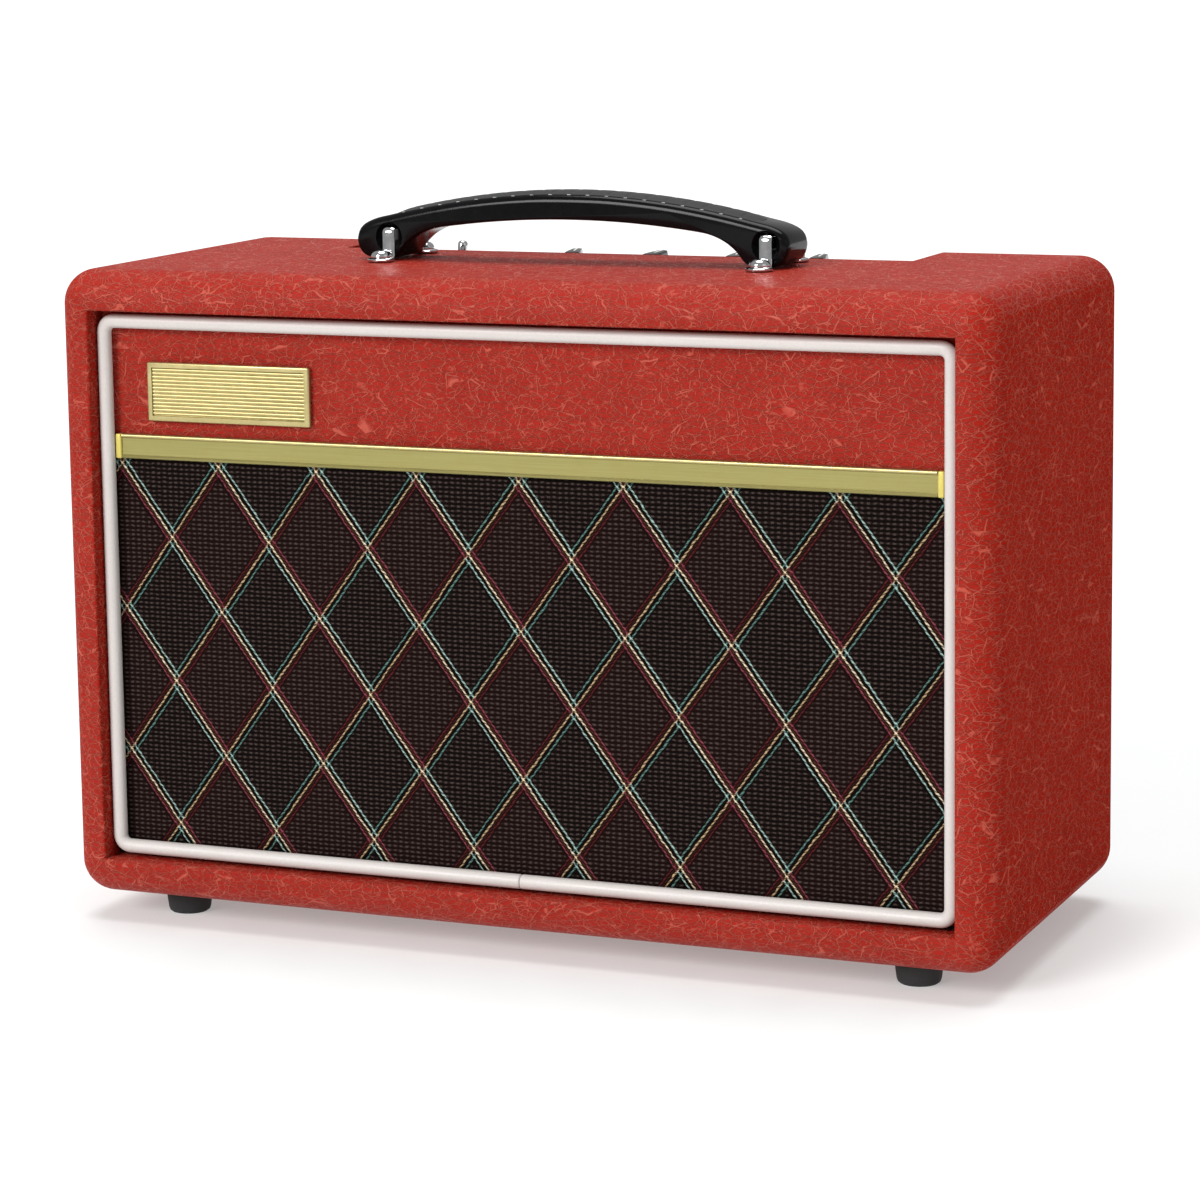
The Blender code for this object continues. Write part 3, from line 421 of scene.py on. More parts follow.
def skin(rings, caps=False, closed=False):
    """A bmesh skin over rings of points, each ring a loop. closed joins the last ring to the first."""
    maker = bmesh.new()
    loops = [[maker.verts.new(spot) for spot in ring] for ring in rings]
    pairs = list(zip(loops, loops[1:]))
    if closed:
        pairs.append((loops[-1], loops[0]))
    count = len(loops[0])
    for one, two in pairs:
        for k in range(count):
            n = (k + 1) % count
            maker.faces.new((one[k], one[n], two[n], two[k]))
    if caps:
        maker.faces.new(loops[0])
        maker.faces.new(loops[-1])
    bmesh.ops.remove_doubles(maker, verts=maker.verts, dist=0.000001)
    bmesh.ops.recalc_face_normals(maker, faces=maker.faces)
    return maker


def sharp_block(low, high):
    """A bmesh block between two corners."""
    maker = bmesh.new()
    bmesh.ops.create_cube(maker, size=1.0)
    low, high = Vector(low), Vector(high)
    bmesh.ops.scale(maker, vec=high - low, verts=maker.verts)
    bmesh.ops.translate(maker, vec=(low + high) / 2, verts=maker.verts)
    return maker


def soft_block(low, high, ease=0.0006, segments=3):
    """A bmesh block with rounded edges."""
    maker = sharp_block(low, high)
    edges = maker.edges[:]
    bmesh.ops.bevel(maker, geom=edges, offset=ease, segments=segments, affect="EDGES", profile=0.5)
    return maker


def turned(profile, centre, axis="Z", steps=48, bored=False):
    """A bmesh turned from (radius, height) points, round a world axis through centre.

    Its ends are capped unless it is bored, when the last point joins the first.
    """
    rings = []
    for radius, height in profile:
        ring = []
        for k in range(steps):
            angle = 2 * pi * k / steps
            spot = Vector((max(radius, 1e-7) * cos(angle), max(radius, 1e-7) * sin(angle), height))
            if axis == "Y":
                spot = Vector((spot.x, spot.z, -spot.y))
            ring.append(spot + Vector(centre))
        rings.append(ring)
    return skin(rings, closed=bored, caps=not bored)


def join(*makers):
    """One bmesh holding several."""
    whole = bmesh.new()
    for maker in makers:
        mesh = bpy.data.meshes.new("part")
        maker.to_mesh(mesh)
        maker.free()
        whole.from_mesh(mesh)
        bpy.data.meshes.remove(mesh)
    return whole


def dress(name, stuff, ease=0.0):
    """A CAD node shown as it is, with a finished material and, if asked, eased edges."""
    node = NODES[name]
    node.data.materials.clear()
    node.data.materials.append(stuff)
    weld = node.modifiers.new("weld", "WELD")
    weld.merge_threshold = 0.00002
    if ease:
        bevel = node.modifiers.new("ease", "BEVEL")
        bevel.width = ease
        bevel.segments = 2
        bevel.limit_method = "ANGLE"
        bevel.angle_limit = radians(40)
    for face in node.data.polygons:
        face.use_smooth = False
    return node


# ---------------------------------------------------------------- cabinet
def corner_ring(inset, y, steps=12):
    """The cabinet's outline at y, inset by so much, with its four round corners."""
    round_off = max(EDGE_ROUND - inset, 0.0)
    reach = max(EDGE_ROUND, inset)
    half_x, half_z = WIDTH / 2 - reach, HEIGHT / 2 - reach
    spots = []
    for quarter, (sx, sz) in enumerate(((1, 1), (-1, 1), (-1, -1), (1, -1))):
        for step in range(steps + 1):
            angle = (quarter + step / steps) * pi / 2
            x, z = sx * half_x + round_off * cos(angle), sz * half_z + round_off * sin(angle)
            spots.append((x, y, MIDDLE + z))
    return spots


def round_over(inset, steps=14):
    """(y, inset) points from the front face round to the outside, and on to the rear face."""
    radius = EDGE_ROUND - inset
    spots = []
    for step in range(steps + 1):
        angle = step / steps * pi / 2
        spots.append((FRONT + EDGE_ROUND - radius * cos(angle), EDGE_ROUND - radius * sin(angle)))
    return spots + [(-y, depth) for y, depth in reversed(spots)]


def make_covering():
    """The vinyl, wrapped round every outer edge and into the front and rear openings."""
    lip = 0.0011
    turn = [
        (FRONT + lip - lip * sin(radians(a)), LIP_INSET - lip + lip * cos(radians(a)))
        for a in (0, 22, 45, 68, 90)
    ]
    outer = [(LIP_END, LIP_INSET)] + turn + round_over(0.0)
    outer += [(-y, inset) for y, inset in reversed(turn)] + [(PANEL_REST, LIP_INSET)]
    back = LIP_INSET - SKIN
    inner = [(PANEL_REST, back), (REAR - SKIN, back)]
    inner += list(reversed(round_over(SKIN)))
    inner += [(FRONT + SKIN, back), (LIP_END, back)]
    rings = [corner_ring(inset, y) for y, inset in outer + inner]
    made = piece("covering", skin(rings, closed=True), VINYL, "cabinet", ["vinyl_covering"])
    low, high = (-RECESS_X, RECESS_FRONT, PANEL_TOP - 0.002), (RECESS_X, 0.13, TOP + 0.01)
    carve(made, sharp_block(low, high))
    finish_mesh(made)
    # Faces turned to the sides take the shaded copies of the vinyl with less sheen: painted shade.
    for _, stuff in SIDE_SHADED_VINYL:
        made.data.materials.append(stuff)
    for face in made.data.polygons:
        face.material_index = sum(abs(face.normal.x) > least for least, _ in SIDE_SHADED_VINYL)
    make_recess_lining()


def top_at(y):
    """The height of the cabinet's top at y, where it rounds down to the rear."""
    over = max(0.0, y - (REAR - EDGE_ROUND))
    return TOP - EDGE_ROUND + (EDGE_ROUND**2 - over**2) ** 0.5


def make_recess_lining():
    """The vinyl folded down over the edge of the control recess, with a small round at the top."""
    thick, round_off, floor = 0.0011, 0.0013, PANEL_TOP - 0.0006
    side = [(y, 0) for y in (0.0822, 0.0790, 0.0750, 0.0715)]
    path = [(-RECESS_X, y, aim) for y, aim in side] + [(-RECESS_X, RECESS_FRONT, 45)]
    path += [(RECESS_X, RECESS_FRONT, 135)] + [(RECESS_X, y, 180) for y, aim in reversed(side)]
    rings = []
    for x, y, aim in path:
        across = Vector((cos(radians(aim)), sin(radians(aim)), 0))
        if aim in (45, 135):
            across *= 2**0.5
        top = top_at(y)
        section = [(-thick, floor), (0.0, floor)]
        for angle in (0, 30, 60, 90):
            out, up = cos(radians(angle)) - 1, sin(radians(angle)) - 1
            section.append((round_off * out, top + 0.00008 + round_off * up))
        section += [(-thick - 0.0006, top + drop) for drop in (0.00002, -0.0006)] + [(-thick, top - 0.0012)]
        rings.append([Vector((x, y, 0)) + across * offset + Vector((0, 0, z)) for offset, z in section])
    piece("recess_lining", skin(rings, caps=True), VINYL, "cabinet", angle=50)


def make_cloth():
    """The grille cloth: a fine grid, drawn tight, with the woven bands standing a little proud."""
    half_x, low, high = 0.1743, 0.0257, 0.18915
    across, up = 348, 164
    maker = bmesh.new()
    grid = []
    for j in range(up + 1):
        z = low + (high - low) * j / up
        row = []
        for i in range(across + 1):
            x = -half_x + 2 * half_x * i / across
            u = (x / MM - CLOTH_ORIGIN[0]) / CLOTH_X
            v = (z / MM - CLOTH_ORIGIN[1]) / CLOTH_Z
            fall, rise = (u + v - 1) / 2, (u - v - 1) / 2
            near = min(abs(fall - round(fall)), abs(rise - round(rise))) * 2 * CLOTH_X
            proud = 0.22 * MM * max(0.0, 1 - near / 3.6)
            row.append(maker.verts.new((x, CLOTH_FRONT + 0.0003 - proud, z)))
        grid.append(row)
    for j in range(up):
        for i in range(across):
            maker.faces.new((grid[j][i], grid[j][i + 1], grid[j + 1][i + 1], grid[j + 1][i]))
    cloth = piece("grille_sheet", maker, CLOTH, "cabinet", ["grille_cloth"], angle=180)


def make_piping():
    """A round bead bent to a rectangle, butted together at the bottom."""
    radius, bend = 0.0028, 0.0045
    half_x, low, high = 0.1715, 0.0297, 0.2382
    y = CLOTH_FRONT - 0.0003 - radius
    seam, gap = 0.0016, 0.00010
    blunt_end = [(0.88, 0.0), (0.97, 0.0002), (1.0, 0.0006)]
    path = [(seam + gap, low)]
    path += [(x, low) for x in (0.03, 0.08, 0.13)]
    for side, level, begin in ((1, low, -90), (1, high, 0), (-1, high, 90), (-1, low, 180)):
        x = side * (half_x - bend)
        z = level + (bend if level == low else -bend)
        for step in range(11):
            angle = radians(begin + 9 * step)
            path.append((x + bend * cos(angle), z + bend * sin(angle)))
    path += [(x, low) for x in (-0.13, -0.08, -0.03)]
    path.append((seam - gap, low))
    rings = []
    for i, (x, z) in enumerate(path):
        before, after = path[max(i - 1, 0)], path[min(i + 1, len(path) - 1)]
        ahead = Vector((after[0] - before[0], 0, after[1] - before[1])).normalized()
        side = Vector((0, 1, 0)).cross(ahead)
        if i == 0:
            sizes = blunt_end
        elif i == len(path) - 1:
            sizes = [(size, -inward) for size, inward in reversed(blunt_end)]
        else:
            sizes = [(1.0, 0.0)]
        for size, forward in sizes:
            centre = Vector((x, y, z)) + ahead * forward
            turns = [2 * pi * k / 20 for k in range(20)]
            aims = [side * cos(angle) + Vector((0, 1, 0)) * sin(angle) for angle in turns]
            rings.append([centre + aim * radius * size for aim in aims])
    piece("piping_bead", skin(rings, caps=True), PIPING, "cabinet", ["piping"], angle=60)


def make_strip():
    """The gold strip: a shallow channel with a rolled lip along its top and bottom, and end caps."""
    half_x, low, high = 0.1684, 0.1843, 0.1940
    back = FASCIA_BACK
    section = [(0.0, low), (0.0013, low), (0.0021, low + 0.0003), (0.0024, low + 0.0008)]
    section += [(0.0021, low + 0.0012), (0.0017, low + 0.0016), (0.0016, (low + high) / 2)]
    section += [(0.0017, high - 0.0016), (0.0021, high - 0.0012), (0.0024, high - 0.0007)]
    section += [(0.0021, high - 0.0003), (0.0013, high), (0.0, high)]
    end = half_x - 0.0026
    rings = [[(x, back - out, z) for out, z in section] for x in (-end, end)]
    piece("trim_strip", skin(rings, caps=True), GOLD, "cabinet", ["gold_strip"], angle=28)
    # The bead on the top lip is in the lighter badge gold: a real rolled lip, painted lighter as a
    # highlight along the top edge.
    turns = [radians(angle) for angle in range(0, 360, 30)]
    round_lip = [(back - 0.0020 - 0.0006 * sin(a), high - 0.0007 + 0.0007 * cos(a)) for a in turns]
    end = half_x - 0.0027
    bead = [[(x, y, z) for y, z in round_lip] for x in (-end, end)]
    piece("trim_top_highlight_bead", skin(bead, caps=True), BADGE_GOLD, "cabinet", angle=60)
    for side, word in ((-1, "left"), (1, "right")):
        xs = sorted((side * half_x, side * (half_x - 0.0025)))
        cap = soft_block((xs[0], back - 0.0026, low), (xs[1], back, high), 0.0006)
        piece(f"trim_end_{word}", cap, EDGE_GOLD, "cabinet")


def make_badge():
    """A plain plaque with a raised rim and fine level ribs, and no mark of any kind."""
    x, z, wide, tall, edge, back = -0.1188, 0.2110, 0.0700, 0.0230, 0.0021, FASCIA_BACK
    low, high = (x - wide / 2, back - 0.0022, z - tall / 2), (x + wide / 2, back, z + tall / 2)
    rim = soft_block(low, high, 0.0007)
    plaque = piece("badge_plaque", rim, BADGE_GOLD, "cabinet", ["badge_plate"], angle=30)
    hollow = soft_block(
        (x - wide / 2 + edge, back - 0.006, z - tall / 2 + edge),
        (x + wide / 2 - edge, back - 0.0013, z + tall / 2 - edge),
        0.0003,
    )
    carve(plaque, hollow)
    finish_mesh(plaque, 30)
    pitch, count, half = 0.00142, 13, wide / 2 - edge - 0.0002
    turns = [radians(angle) for angle in range(0, 181, 20)]
    ribs = []
    for k in range(count):
        middle = z + (k - (count - 1) / 2) * pitch
        rib = [(back - 0.0013 - 0.00055 * sin(a), middle - 0.00062 * cos(a)) for a in turns]
        ends = [[(x + side * half, y, level) for y, level in rib] for side in (-1, 1)]
        ribs.append(skin(ends, caps=True))
    piece("badge_ribs", join(*ribs), BADGE_GOLD, "cabinet", angle=60)


# ---------------------------------------------------------------- handle
def smooth_loop(points, steps=5):
    """A closed loop through points, rounded by Catmull-Rom."""
    loop, count = [], len(points)
    for i in range(count):
        a, b, c, d = (Vector(points[(i + k) % count]) for k in (-1, 0, 1, 2))
        for s in range(steps):
            t = s / steps
            square, cube = 2 * a - 5 * b + 4 * c - d, 3 * b - a - 3 * c + d
            loop.append(0.5 * (2 * b + (c - a) * t + square * t**2 + cube * t**3))
    return loop


def handle_top(x):
    """The height of the grip's crown at x."""
    return TOP + HANDLE_CROWN - HANDLE_CROWN_BEND * (x - HANDLE_X) ** 2


def handle_outline():
    """The grip seen from the front: the arched underside, a leg, the crown, and its mirror image."""
    half = [(x, HANDLE_UNDER - HANDLE_UNDER_BEND * x * x) for x in (0.0, 0.012, 0.024, 0.036, 0.049)]
    half += [(0.0580, 0.0124), (0.0645, 0.0096), (0.0690, 0.0060), (0.0714, 0.0030), (0.0740, 0.0010)]
    half += [(0.0780, 0.0006), (0.0835, 0.0007), (0.0872, 0.0019), (0.0895, 0.0048), (0.0902, 0.0086)]
    half += [(0.0894, 0.0121), (0.0870, 0.0144), (0.0825, 0.0163), (0.0760, 0.0178)]
    half += [(x, HANDLE_CROWN - HANDLE_CROWN_BEND * x * x) for x in (0.066, 0.052, 0.038, 0.024, 0.010)]
    mirrored = [(-x, z) for x, z in reversed(half) if x > 0]
    return [(HANDLE_X + x, TOP + z) for x, z in half + mirrored]


def make_handle():
    """The moulded grip: rounded all along, a scoop and a slot in each end for the strap."""
    loop = smooth_loop(handle_outline(), 4)
    count = len(loop)
    ease = 0.0032
    normals = []
    for i in range(count):
        ahead = (loop[(i + 1) % count] - loop[i - 1]).normalized()
        normals.append(Vector((-ahead.y, ahead.x)))
    rings = []
    levels = [(-1, angle) for angle in range(90, -1, -15)] + [(1, angle) for angle in range(0, 91, 15)]
    for side, angle in levels:
        y = HANDLE_Y + side * (HANDLE_HALF - ease * (1 - sin(radians(angle))))
        ring = []
        for spot, normal in zip(loop, normals):
            depth = (0.0009 + 0.0027 * max(0.0, -normal.y)) * (1 - cos(radians(angle)))
            moved = spot + normal * depth
            ring.append((moved.x, y, moved.y))
        rings.append(ring)
    grip = piece("handle_moulding", skin(rings, caps=True), GLOSS, "handle", ["handle_grip"])
    for side in (-1, 1):
        x = side * STRAP_X
        slot = soft_block((x - 0.0031, -0.03, TOP + 0.0062), (x + 0.0031, 0.03, TOP + 0.0137), 0.0005)
        carve(grip, slot)
        for face in (-1, 1):
            scoop = bmesh.new()
            bmesh.ops.create_uvsphere(scoop, u_segments=48, v_segments=32, radius=1.0)
            bmesh.ops.scale(scoop, vec=(0.0076, 0.0085, 0.0080), verts=scoop.verts)
            middle = (x - 0.0004, HANDLE_Y + face * (HANDLE_HALF + 0.0056), TOP + 0.0090)
            bmesh.ops.translate(scoop, vec=middle, verts=scoop.verts)
            carve(grip, scoop)
    finish_mesh(grip, 40)
    make_handle_pad()
    make_straps()


def make_handle_pad():
    """The grained pad moulded over the crown and down both ends, with stitches by its edges."""
    reach, half, steps, pitch = 0.0765, 0.0098, 196, 0.0078
    rings = []
    for i in range(steps + 1):
        x = HANDLE_X - reach + 2 * reach * i / steps
        end = min(1.0, (reach - abs(x - HANDLE_X)) / 0.006)
        wide = half * (0.80 + 0.20 * (1 - (1 - end) ** 2) ** 0.5)
        ring = []
        for k in range(13):
            across = -1 + 2 * k / 12
            groove = abs((x - HANDLE_X) / pitch - round((x - HANDLE_X) / pitch)) * pitch
            dip = 0.0004 * max(0.0, 1 - groove / 0.0009)
            lift = (0.0010 - dip) * (1 - abs(across) ** 2.6) * (0.15 + 0.85 * end)
            drop = 0.0008 * across * across
            ring.append((x, HANDLE_Y + across * wide, handle_top(x) + lift - drop + 0.0001))
        ring += [(x, HANDLE_Y + side * wide * 0.9, handle_top(x) - 0.0020) for side in (1, -1)]
        rings.append(ring)
    piece("handle_pad", skin(rings, caps=True), PAD, "handle", angle=60)
    marks = []
    for y in (HANDLE_Y - 0.0095, HANDLE_Y + 0.0095):
        for k in range(-9, 10):
            x = HANDLE_X + k * pitch
            z = handle_top(x) - 0.0004
            low, high = (x - 0.0008, y - 0.0003, z - 0.0006), (x + 0.0008, y + 0.0003, z + 0.0003)
            marks.append(soft_block(low, high, 0.0002, 2))
    piece("handle_stitches", join(*marks), STITCH, "handle")


def make_straps():
    """Each strap is bent from one chromed strip, with round-edged uprights and rounded feet."""
    half, thick, low_bend, high_bend = 0.0025, 0.0012, 0.0012, 0.0018
    turns = [(sin(radians(angle)), cos(radians(angle))) for angle in (30, 60, 90)]
    line = [(-0.0248, 0.0009), (-0.0160, 0.0009)]
    line += [(-0.0143 + low_bend * up, 0.0021 - low_bend * along) for up, along in turns]
    line += [(-0.0131, 0.0108)]
    line += [(-0.0113 - high_bend * along, 0.0108 + high_bend * up) for up, along in turns]
    line += [(-0.0060, 0.0126), (0.0, 0.0126)]
    line += [(-y, z) for y, z in reversed(line[:-1])]
    foot = [(0.0, 0.0003), (0.0050, 0.0003), (0.0054, 0.0006)]
    foot += [(0.0054, 0.0012), (0.0050, 0.0015), (0.0, 0.0015)]
    for word, x in (("left", -STRAP_X), ("right", STRAP_X)):
        rings = []
        for i, (y, z) in enumerate(line):
            before, after = line[max(i - 1, 0)], line[min(i + 1, len(line) - 1)]
            ahead = Vector((after[0] - before[0], after[1] - before[1])).normalized()
            normal = Vector((-ahead.y, ahead.x)) * thick / 2
            ring = []
            for k in range(24):
                angle = 2 * pi * k / 24
                sx = cos(angle)
                sn = max(-1.0, min(1.0, sin(angle) * 1.15))
                ring.append((x + sx * half, HANDLE_Y + y + normal.x * sn, TOP + z + normal.y * sn))
            rings.append(ring)
        stands_for = [f"handle_bracket_{word}"]
        piece(f"strap_{word}", skin(rings, caps=True), CHROME, "cabinet", stands_for, angle=30)
        for end, place in ((-1, "front"), (1, "rear")):
            tip = (x, HANDLE_Y + end * 0.0202, TOP)
            piece(f"strap_foot_{place}_{word}", turned(foot, tip), CHROME, "cabinet")
            centre = (x, HANDLE_Y + end * 0.0196, TOP + 0.0018)
            make_pan_screw(f"pan_screw_{place}_{word}", centre, f"handle_screw_{place}_{word}")


def cross_cutter(centre, size, depth, axis="Z"):
    """The two arms of a cross-head recess, to be cut one after the other."""
    arms = []
    for wide, long in ((0.14, 1.0), (1.0, 0.14)):
        reach = Vector((size * wide, size * long, depth))
        if axis == "Y":
            reach = Vector((reach.x, reach.z, reach.y))
        arms.append(soft_block(Vector(centre) - reach, Vector(centre) + reach, 0.00008, 1))
    return arms


def make_pan_screw(name, centre, stands_for):
    """A domed cross-head screw, standing on centre."""
    profile = [(0.0, -0.0012), (0.0015, -0.0012), (0.0015, 0.0), (0.0040, 0.0), (0.0041, 0.0004)]
    profile += [(0.0040, 0.0010), (0.0036, 0.0018), (0.0028, 0.0025), (0.0016, 0.0029), (0.0, 0.0030)]
    head = piece(name, turned(profile, centre), CHROME, "cabinet", [stands_for])
    for arm in cross_cutter(Vector(centre) + Vector((0, 0, 0.0030)), 0.0019, 0.0014):
        carve(head, arm)
    finish_mesh(head, 35)


# ---------------------------------------------------------------- controls
# A knob's sections: height, how far from the skirt's outline to the grip's, and size.
KNOB_LEVELS = (
    (0.0, 0.0, 1.0),
    (0.0004, 0.0, 1.03),
    (0.0030, 0.0, 1.02),
    (0.0042, 0.25, 0.97),
    (0.0052, 0.85, 0.97),
    (0.0060, 1.0, 0.98),
    (0.0088, 1.0, 0.96),
    (0.0104, 1.0, 0.92),
    (0.0109, 1.0, 0.86),
    (0.0110, 1.0, 0.76),
)
SKIRT_RADIUS, SKIRT_TIP, GRIP_END, GRIP_TIP = 0.0080, 0.0152, 0.0074, 0.0148


def knob_outline(angle):
    """The skirt's and the grip's outlines at an angle, with the pointer towards -X."""
    along, across = cos(angle), sin(angle)
    skirt = Vector((SKIRT_RADIUS * along, SKIRT_RADIUS * across))
    if along < -0.62:
        skirt = Vector((SKIRT_TIP * along, skirt.y * 0.42 + 0.0006 * (1 if across > 0 else -1)))
    edge = max(min(across * 2.4, 1.0), -1.0)
    taper = 0.0032 - 0.0012 * max(0.0, -along)
    grip = Vector(((GRIP_END if along > 0 else GRIP_TIP) * along, taper * edge))
    return skirt, grip


def make_knob(word, x):
    """A pointer knob: a round skirt and a narrow raised grip that tapers to the pointer's tip."""
    base = PANEL_TOP + 0.0020
    outline = [knob_outline(2 * pi * k / 48) for k in range(48)]
    rings = []
    for height, narrow, size in KNOB_LEVELS:
        spots = [skirt.lerp(grip, narrow) * size for skirt, grip in outline]
        rings.append([(spot.x, spot.y, base + height) for spot in spots])
    bore = [(0.0, -0.0070), (0.0029, -0.0070), (0.0029, 0.0005), (0.0, 0.0005)]
    shaft = turned(bore, (0, 0, base), steps=24)
    top = soft_block((-0.0130, -0.0004, base + 0.0100), (-0.0010, 0.0004, base + 0.01112), 0.00010, 1)
    tip = soft_block((-0.01475, -0.0004, base + 0.0050), (-0.0132, 0.0004, base + 0.0102), 0.00010, 1)
    grip, line = join(skin(rings, caps=True), shaft), join(top, tip)
    place = Matrix.Translation((x, CONTROL_Y, 0)) @ Matrix.Rotation(-radians(KNOB_TURN[word]), 4, "Z")
    for maker in (grip, line):
        bmesh.ops.transform(maker, matrix=place, verts=maker.verts)
    node = f"{word}_knob"
    piece(f"{word}_pointer_knob", grip, GLOSS, node, [node], angle=40)
    piece(f"{word}_pointer_line", line, PRINT, node)


def make_panel_print():
    """Scale ticks round each knob, and a plain dash by each other control."""
    thick, ease, half_wide, reach = 0.00008, 0.00003, 0.00022, 0.0160
    marks = []
    for x in KNOB_X.values():
        for k in range(11):
            angle = radians(-60 + 30 * k)
            aim = Vector((-cos(angle), sin(angle), 0))
            long = 0.0016 if k % 5 else 0.0024
            tick = soft_block((-half_wide, 0, 0), (half_wide, long, thick), ease, 1)
            turn = aim.to_2d().angle_signed(Vector((0, 1)))
            bmesh.ops.rotate(tick, matrix=Matrix.Rotation(turn, 3, "Z"), verts=tick.verts)
            middle = Vector((x, CONTROL_Y, PANEL_TOP)) + aim * reach
            bmesh.ops.translate(tick, vec=middle, verts=tick.verts)
            marks.append(tick)
    for x in (TOGGLE_X, PHONES_X, BUTTON_X, INPUT_X):
        low, high = (x - 0.0035, 0.0715, PANEL_TOP), (x + 0.0035, 0.0720, PANEL_TOP + thick)
        marks.append(soft_block(low, high, ease, 1))
    piece("panel_marks", join(*marks), PRINT, "cabinet")


def hex_nut(x, across, low, high, bore):
    """A bmesh nut with a hexagonal bore, its top edge eased."""
    corners = [(cos(pi / 3 * k), sin(pi / 3 * k)) for k in range(6)]
    reach = across / 2 / cos(pi / 6)
    sections = ((low, reach), (high - 0.0003, reach), (high, reach * 0.93), (high, bore), (low, bore))
    rings = [[(x + r * a, CONTROL_Y + r * b, z) for a, b in corners] for z, r in sections]
    return skin(rings, closed=True)


def make_toggle():
    """The power lever with its nut and washer."""
    nut = hex_nut(TOGGLE_X, 0.0090, PANEL_TOP + 0.0002, PANEL_TOP + 0.0022, 0.0031)
    ring = [(0.0031, 0.0), (0.0052, 0.0), (0.0052, 0.0003), (0.0031, 0.0003)]
    washer = turned(ring, (TOGGLE_X, CONTROL_Y, PANEL_TOP + 0.0001), bored=True)
    piece("toggle_nut", join(nut, washer), CHROME, "cabinet")
    bat = [(0.0, 0.0023), (0.0012, 0.0023), (0.0013, 0.0060), (0.0018, 0.0095), (0.0021, 0.0120)]
    bat += [(0.0020, 0.0131), (0.0015, 0.0138), (0.0008, 0.0141), (0.0, 0.0142)]
    lever = turned(bat, (0, 0, 0), steps=32)
    bmesh.ops.rotate(lever, matrix=Matrix.Rotation(radians(-12), 3, "X"), verts=lever.verts)
    bmesh.ops.translate(lever, vec=(TOGGLE_X, CONTROL_Y, PANEL_TOP + 0.0020), verts=lever.verts)
    piece("toggle_bat", lever, CHROME, "toggle", ["power_toggle"], angle=50)


def make_controls():
    for word, x in KNOB_X.items():
        make_knob(word, x)
    make_panel_print()
    make_toggle()
    collar = [(0.0034, 0.0), (0.0066, 0.0), (0.0068, 0.0006), (0.0066, 0.0024)]
    collar += [(0.0060, 0.0029), (0.0040, 0.0030), (0.0034, 0.0027)]
    for name, x in (("input", INPUT_X), ("phones", PHONES_X)):
        ring = turned(collar, (x, CONTROL_Y, PANEL_TOP + 0.0001), bored=True)
        piece(f"{name}_collar", ring, BLACK, "cabinet")
    bezel = [(0.0026, 0.0), (0.0040, 0.0), (0.0040, 0.0006)]
    bezel += [(0.0034, 0.0014), (0.0028, 0.0015), (0.0026, 0.0010)]
    ring = turned(bezel, (LAMP_X, CONTROL_Y, PANEL_TOP + 0.0001), bored=True)
    piece("lamp_bezel", ring, CHROME, "cabinet")


# ---------------------------------------------------------------- feet, rear and insides
def make_feet():
    """Rubber feet, each with a rounded rim and a dished hole for its screw."""
    profile = [(0.0, 0.0098), (0.0092, 0.0098), (0.0092, 0.0090), (0.0089, 0.0055)]
    profile += [(0.0084, 0.0018), (0.0080, 0.0006), (0.0072, 0.0), (0.0050, 0.0)]
    profile += [(0.0046, 0.0004), (0.0024, 0.0004), (0.0022, 0.0012), (0.0, 0.0012)]
    for end, y in (("front", -FOOT_Y), ("rear", FOOT_Y)):
        for word, x in (("left", -FOOT_X), ("right", FOOT_X)):
            name = f"foot_{end}_{word}"
            piece(f"rubber_{name}", turned(profile, (x, y, 0)), RUBBER, "cabinet", [name])


def make_rear_screws():
    """The dome-headed screws of the two rear panels."""
    profile = [(0.0, -0.0160), (0.0016, -0.0150), (0.0018, 0.0), (0.0040, 0.0)]
    profile += [(0.0040, 0.0004), (0.0036, 0.0012), (0.0026, 0.0019), (0.0012, 0.0022), (0.0, 0.0023)]
    for panel in ("rear_panel_lower", "rear_panel_upper"):
        for word in ("left", "right"):
            node = f"{panel}_screw_{word}"
            low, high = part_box(node)
            centre = ((low[0] + high[0]) / 2, REAR_SCREW_Y, (low[2] + high[2]) / 2)
            screw = turned(profile, centre, "Y")
            head = piece(f"{panel}_head_{word}", screw, PLATED, "cabinet", [node])
            for arm in cross_cutter(Vector(centre) + Vector((0, 0.0022, 0)), 0.0019, 0.0012, "Y"):
                carve(head, arm)
            finish_mesh(head, 35)


# The CAD nodes shown as they are: each one's finish, and how far its edges are eased.
DRESSED = {
    "control_panel": (PANEL, 0.0002),
    "gain_pot": (PLATED, 0.0),
    "treble_pot": (PLATED, 0.0),
    "bass_pot": (PLATED, 0.0),
    "volume_pot": (PLATED, 0.0),
    "input_jack": (BLACK, 0.0002),
    "phones_jack": (BLACK, 0.0002),
    "overdrive_switch": (BLACK, 0.0002),
    "overdrive_button": (GLOSS, 0.0003),
    "power_switch": (CHROME, 0.0),
    "power_lamp": (LAMP, 0.0),
    "mains_inlet": (BLACK, 0.0004),
    "rear_panel_lower": (BLACK_BOARD, 0.0006),
    "rear_panel_upper": (BLACK_BOARD, 0.0006),
    "side_panel_left": (PLY, 0.0),
    "side_panel_right": (PLY, 0.0),
    "top_panel": (PLY, 0.0),
    "bottom_panel": (PLY, 0.0),
    "rear_cleat_left": (PLY, 0.0),
    "rear_cleat_right": (PLY, 0.0),
    "speaker_baffle": (BLACK_BOARD, 0.0),
    "fascia_covering": (VINYL, 0.0),
    "chassis": (STEEL, 0.0002),
    "circuit_board": (BOARD, 0.0),
    "transformer_core": (LAMINATE, 0.0004),
    "transformer_winding": (WINDING, 0.0020),
    "voice_coil": (WINDING, 0.0),
    "speaker_spider": (SPIDER, 0.0),
}
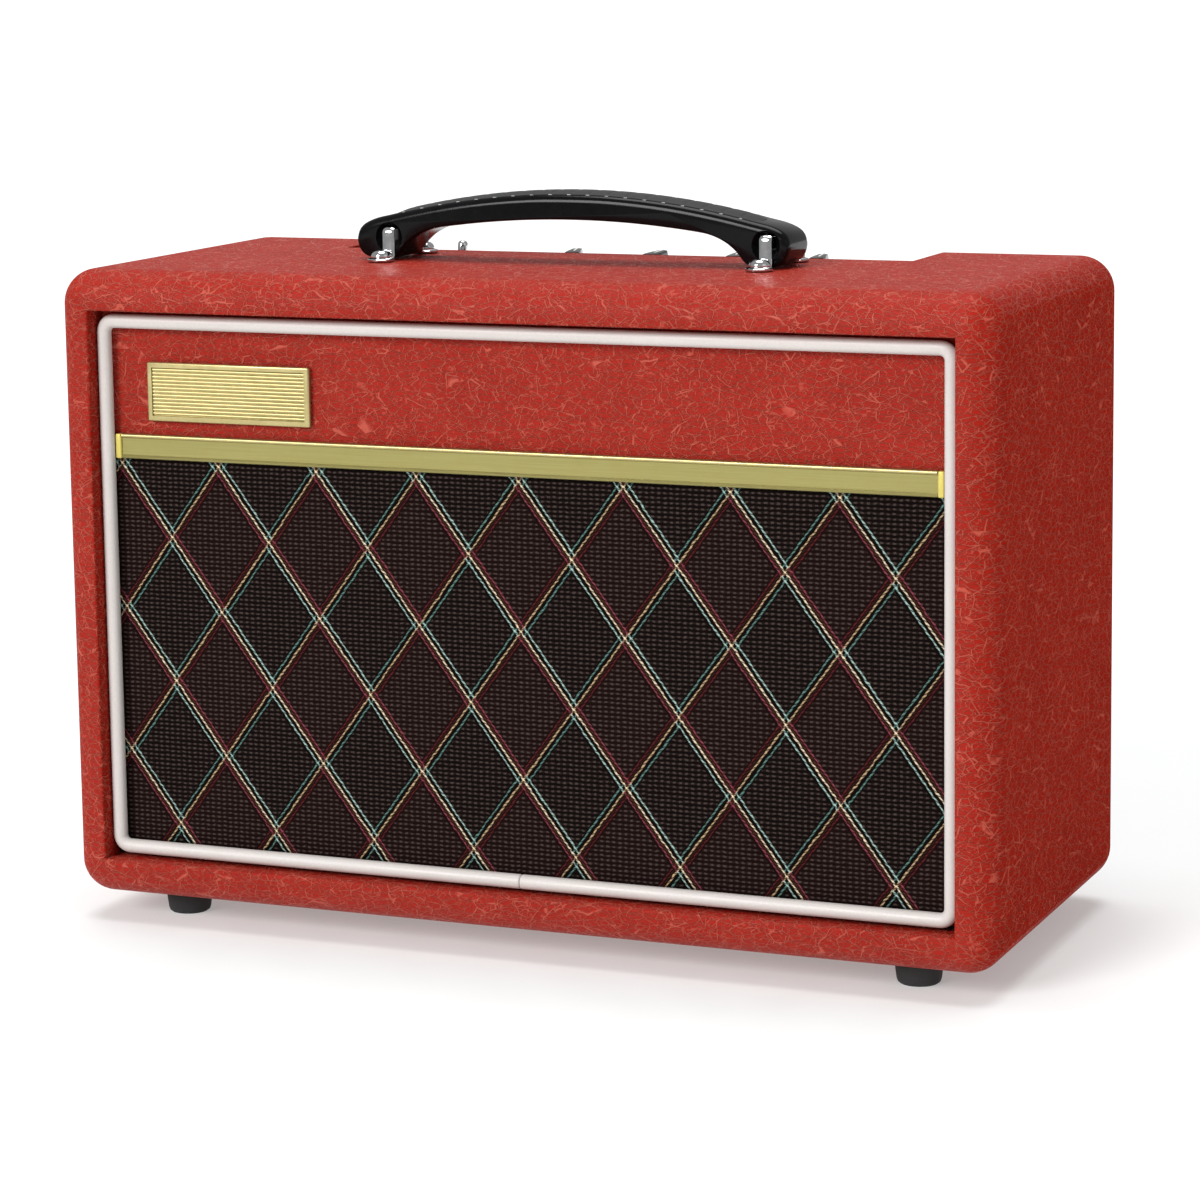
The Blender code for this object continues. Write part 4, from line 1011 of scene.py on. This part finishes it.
# The same for the speaker's turned parts, which are also shaded round.
DRESSED_ROUND = {
    "speaker_basket": (BASKET, 0.0),
    "speaker_surround": (RUBBER, 0.0),
    "speaker_cone": (PAPER, 0.0),
    "dust_cap": (PAPER, 0.0),
    "speaker_top_plate": (PLATED, 0.0005),
    "speaker_magnet": (FERRITE, 0.0008),
    "speaker_yoke": (PLATED, 0.0005),
}


def dress_nodes():
    for name, (stuff, ease) in DRESSED.items():
        dress(name, stuff, ease)
    for name, (stuff, ease) in DRESSED_ROUND.items():
        finish_mesh(dress(name, stuff, ease))


# ---------------------------------------------------------------- stage
# Each light: where it shines from, the angle it fills in degrees, and its strength.
LIGHTS = {
    "key": ((-0.32, -0.82, 0.46), 24, 2.35),
    "top": ((-0.05, 0.10, 1.0), 40, 2.40),
    "side": ((0.85, -0.25, 0.35), 40, 0.15),
}
WORLD_STRENGTH = 0.40
FLOOR_REACH = 60.0


def make_stage():
    """A pale floor that runs to the horizon, an even world and three soft suns."""
    floor_mesh = bmesh.new()
    bmesh.ops.create_grid(floor_mesh, x_segments=2, y_segments=2, size=FLOOR_REACH)
    mesh = bpy.data.meshes.new("floor")
    floor_mesh.to_mesh(mesh)
    floor_mesh.free()
    floor = bpy.data.objects.new("floor", mesh)
    bpy.context.scene.collection.objects.link(floor)
    mesh.materials.append(FLOOR_PAINT)
    world = bpy.data.worlds.new("studio")
    bpy.context.scene.world = world
    world.use_nodes = True
    sky = world.node_tree.nodes["Background"]
    sky.inputs["Color"].default_value = (1.0, 1.0, 1.0, 1.0)
    sky.inputs["Strength"].default_value = WORLD_STRENGTH
    for name, (place, spread, strength) in LIGHTS.items():
        data = bpy.data.lights.new(name, "SUN")
        data.angle = radians(spread)
        data.energy = strength
        made = bpy.data.objects.new(name, data)
        bpy.context.scene.collection.objects.link(made)
        made.location = place
        made.rotation_euler = Vector(place).to_track_quat("Z", "Y").to_euler()


CAMERA_PLACE = (0.57031, -1.35688, 0.39272)
CAMERA_YAW, CAMERA_PITCH, CAMERA_ROLL = 22.67, 8.82, -0.77
CAMERA_LENS, CAMERA_SHIFT = 114.034, -0.08333


def make_camera():
    """The camera, turned left by its yaw, down by its pitch and round by its roll."""
    yaw, pitch, roll = radians(CAMERA_YAW), radians(CAMERA_PITCH), radians(CAMERA_ROLL)
    ahead = Vector((-sin(yaw) * cos(pitch), cos(yaw) * cos(pitch), -sin(pitch)))
    level = Vector((cos(yaw), sin(yaw), 0))
    up = level.cross(ahead)
    right = cos(roll) * level + sin(roll) * up
    above = -sin(roll) * level + cos(roll) * up
    data = bpy.data.cameras.new("camera")
    data.lens = CAMERA_LENS
    data.sensor_width = 36.0
    data.sensor_fit = "HORIZONTAL"
    data.shift_y = CAMERA_SHIFT
    data.clip_start = 0.05
    data.clip_end = 50.0
    made = bpy.data.objects.new("camera", data)
    bpy.context.scene.collection.objects.link(made)
    turn = Matrix((right, above, -ahead)).transposed().to_4x4()
    made.matrix_world = Matrix.Translation(CAMERA_PLACE) @ turn
    bpy.context.scene.camera = made


make_covering()
make_cloth()
make_piping()
make_strip()
make_badge()
make_handle()
make_controls()
make_feet()
make_rear_screws()
dress_nodes()
make_stage()
make_camera()
bpy.context.scene.view_settings.view_transform = "Standard"
bpy.context.view_layer.update()
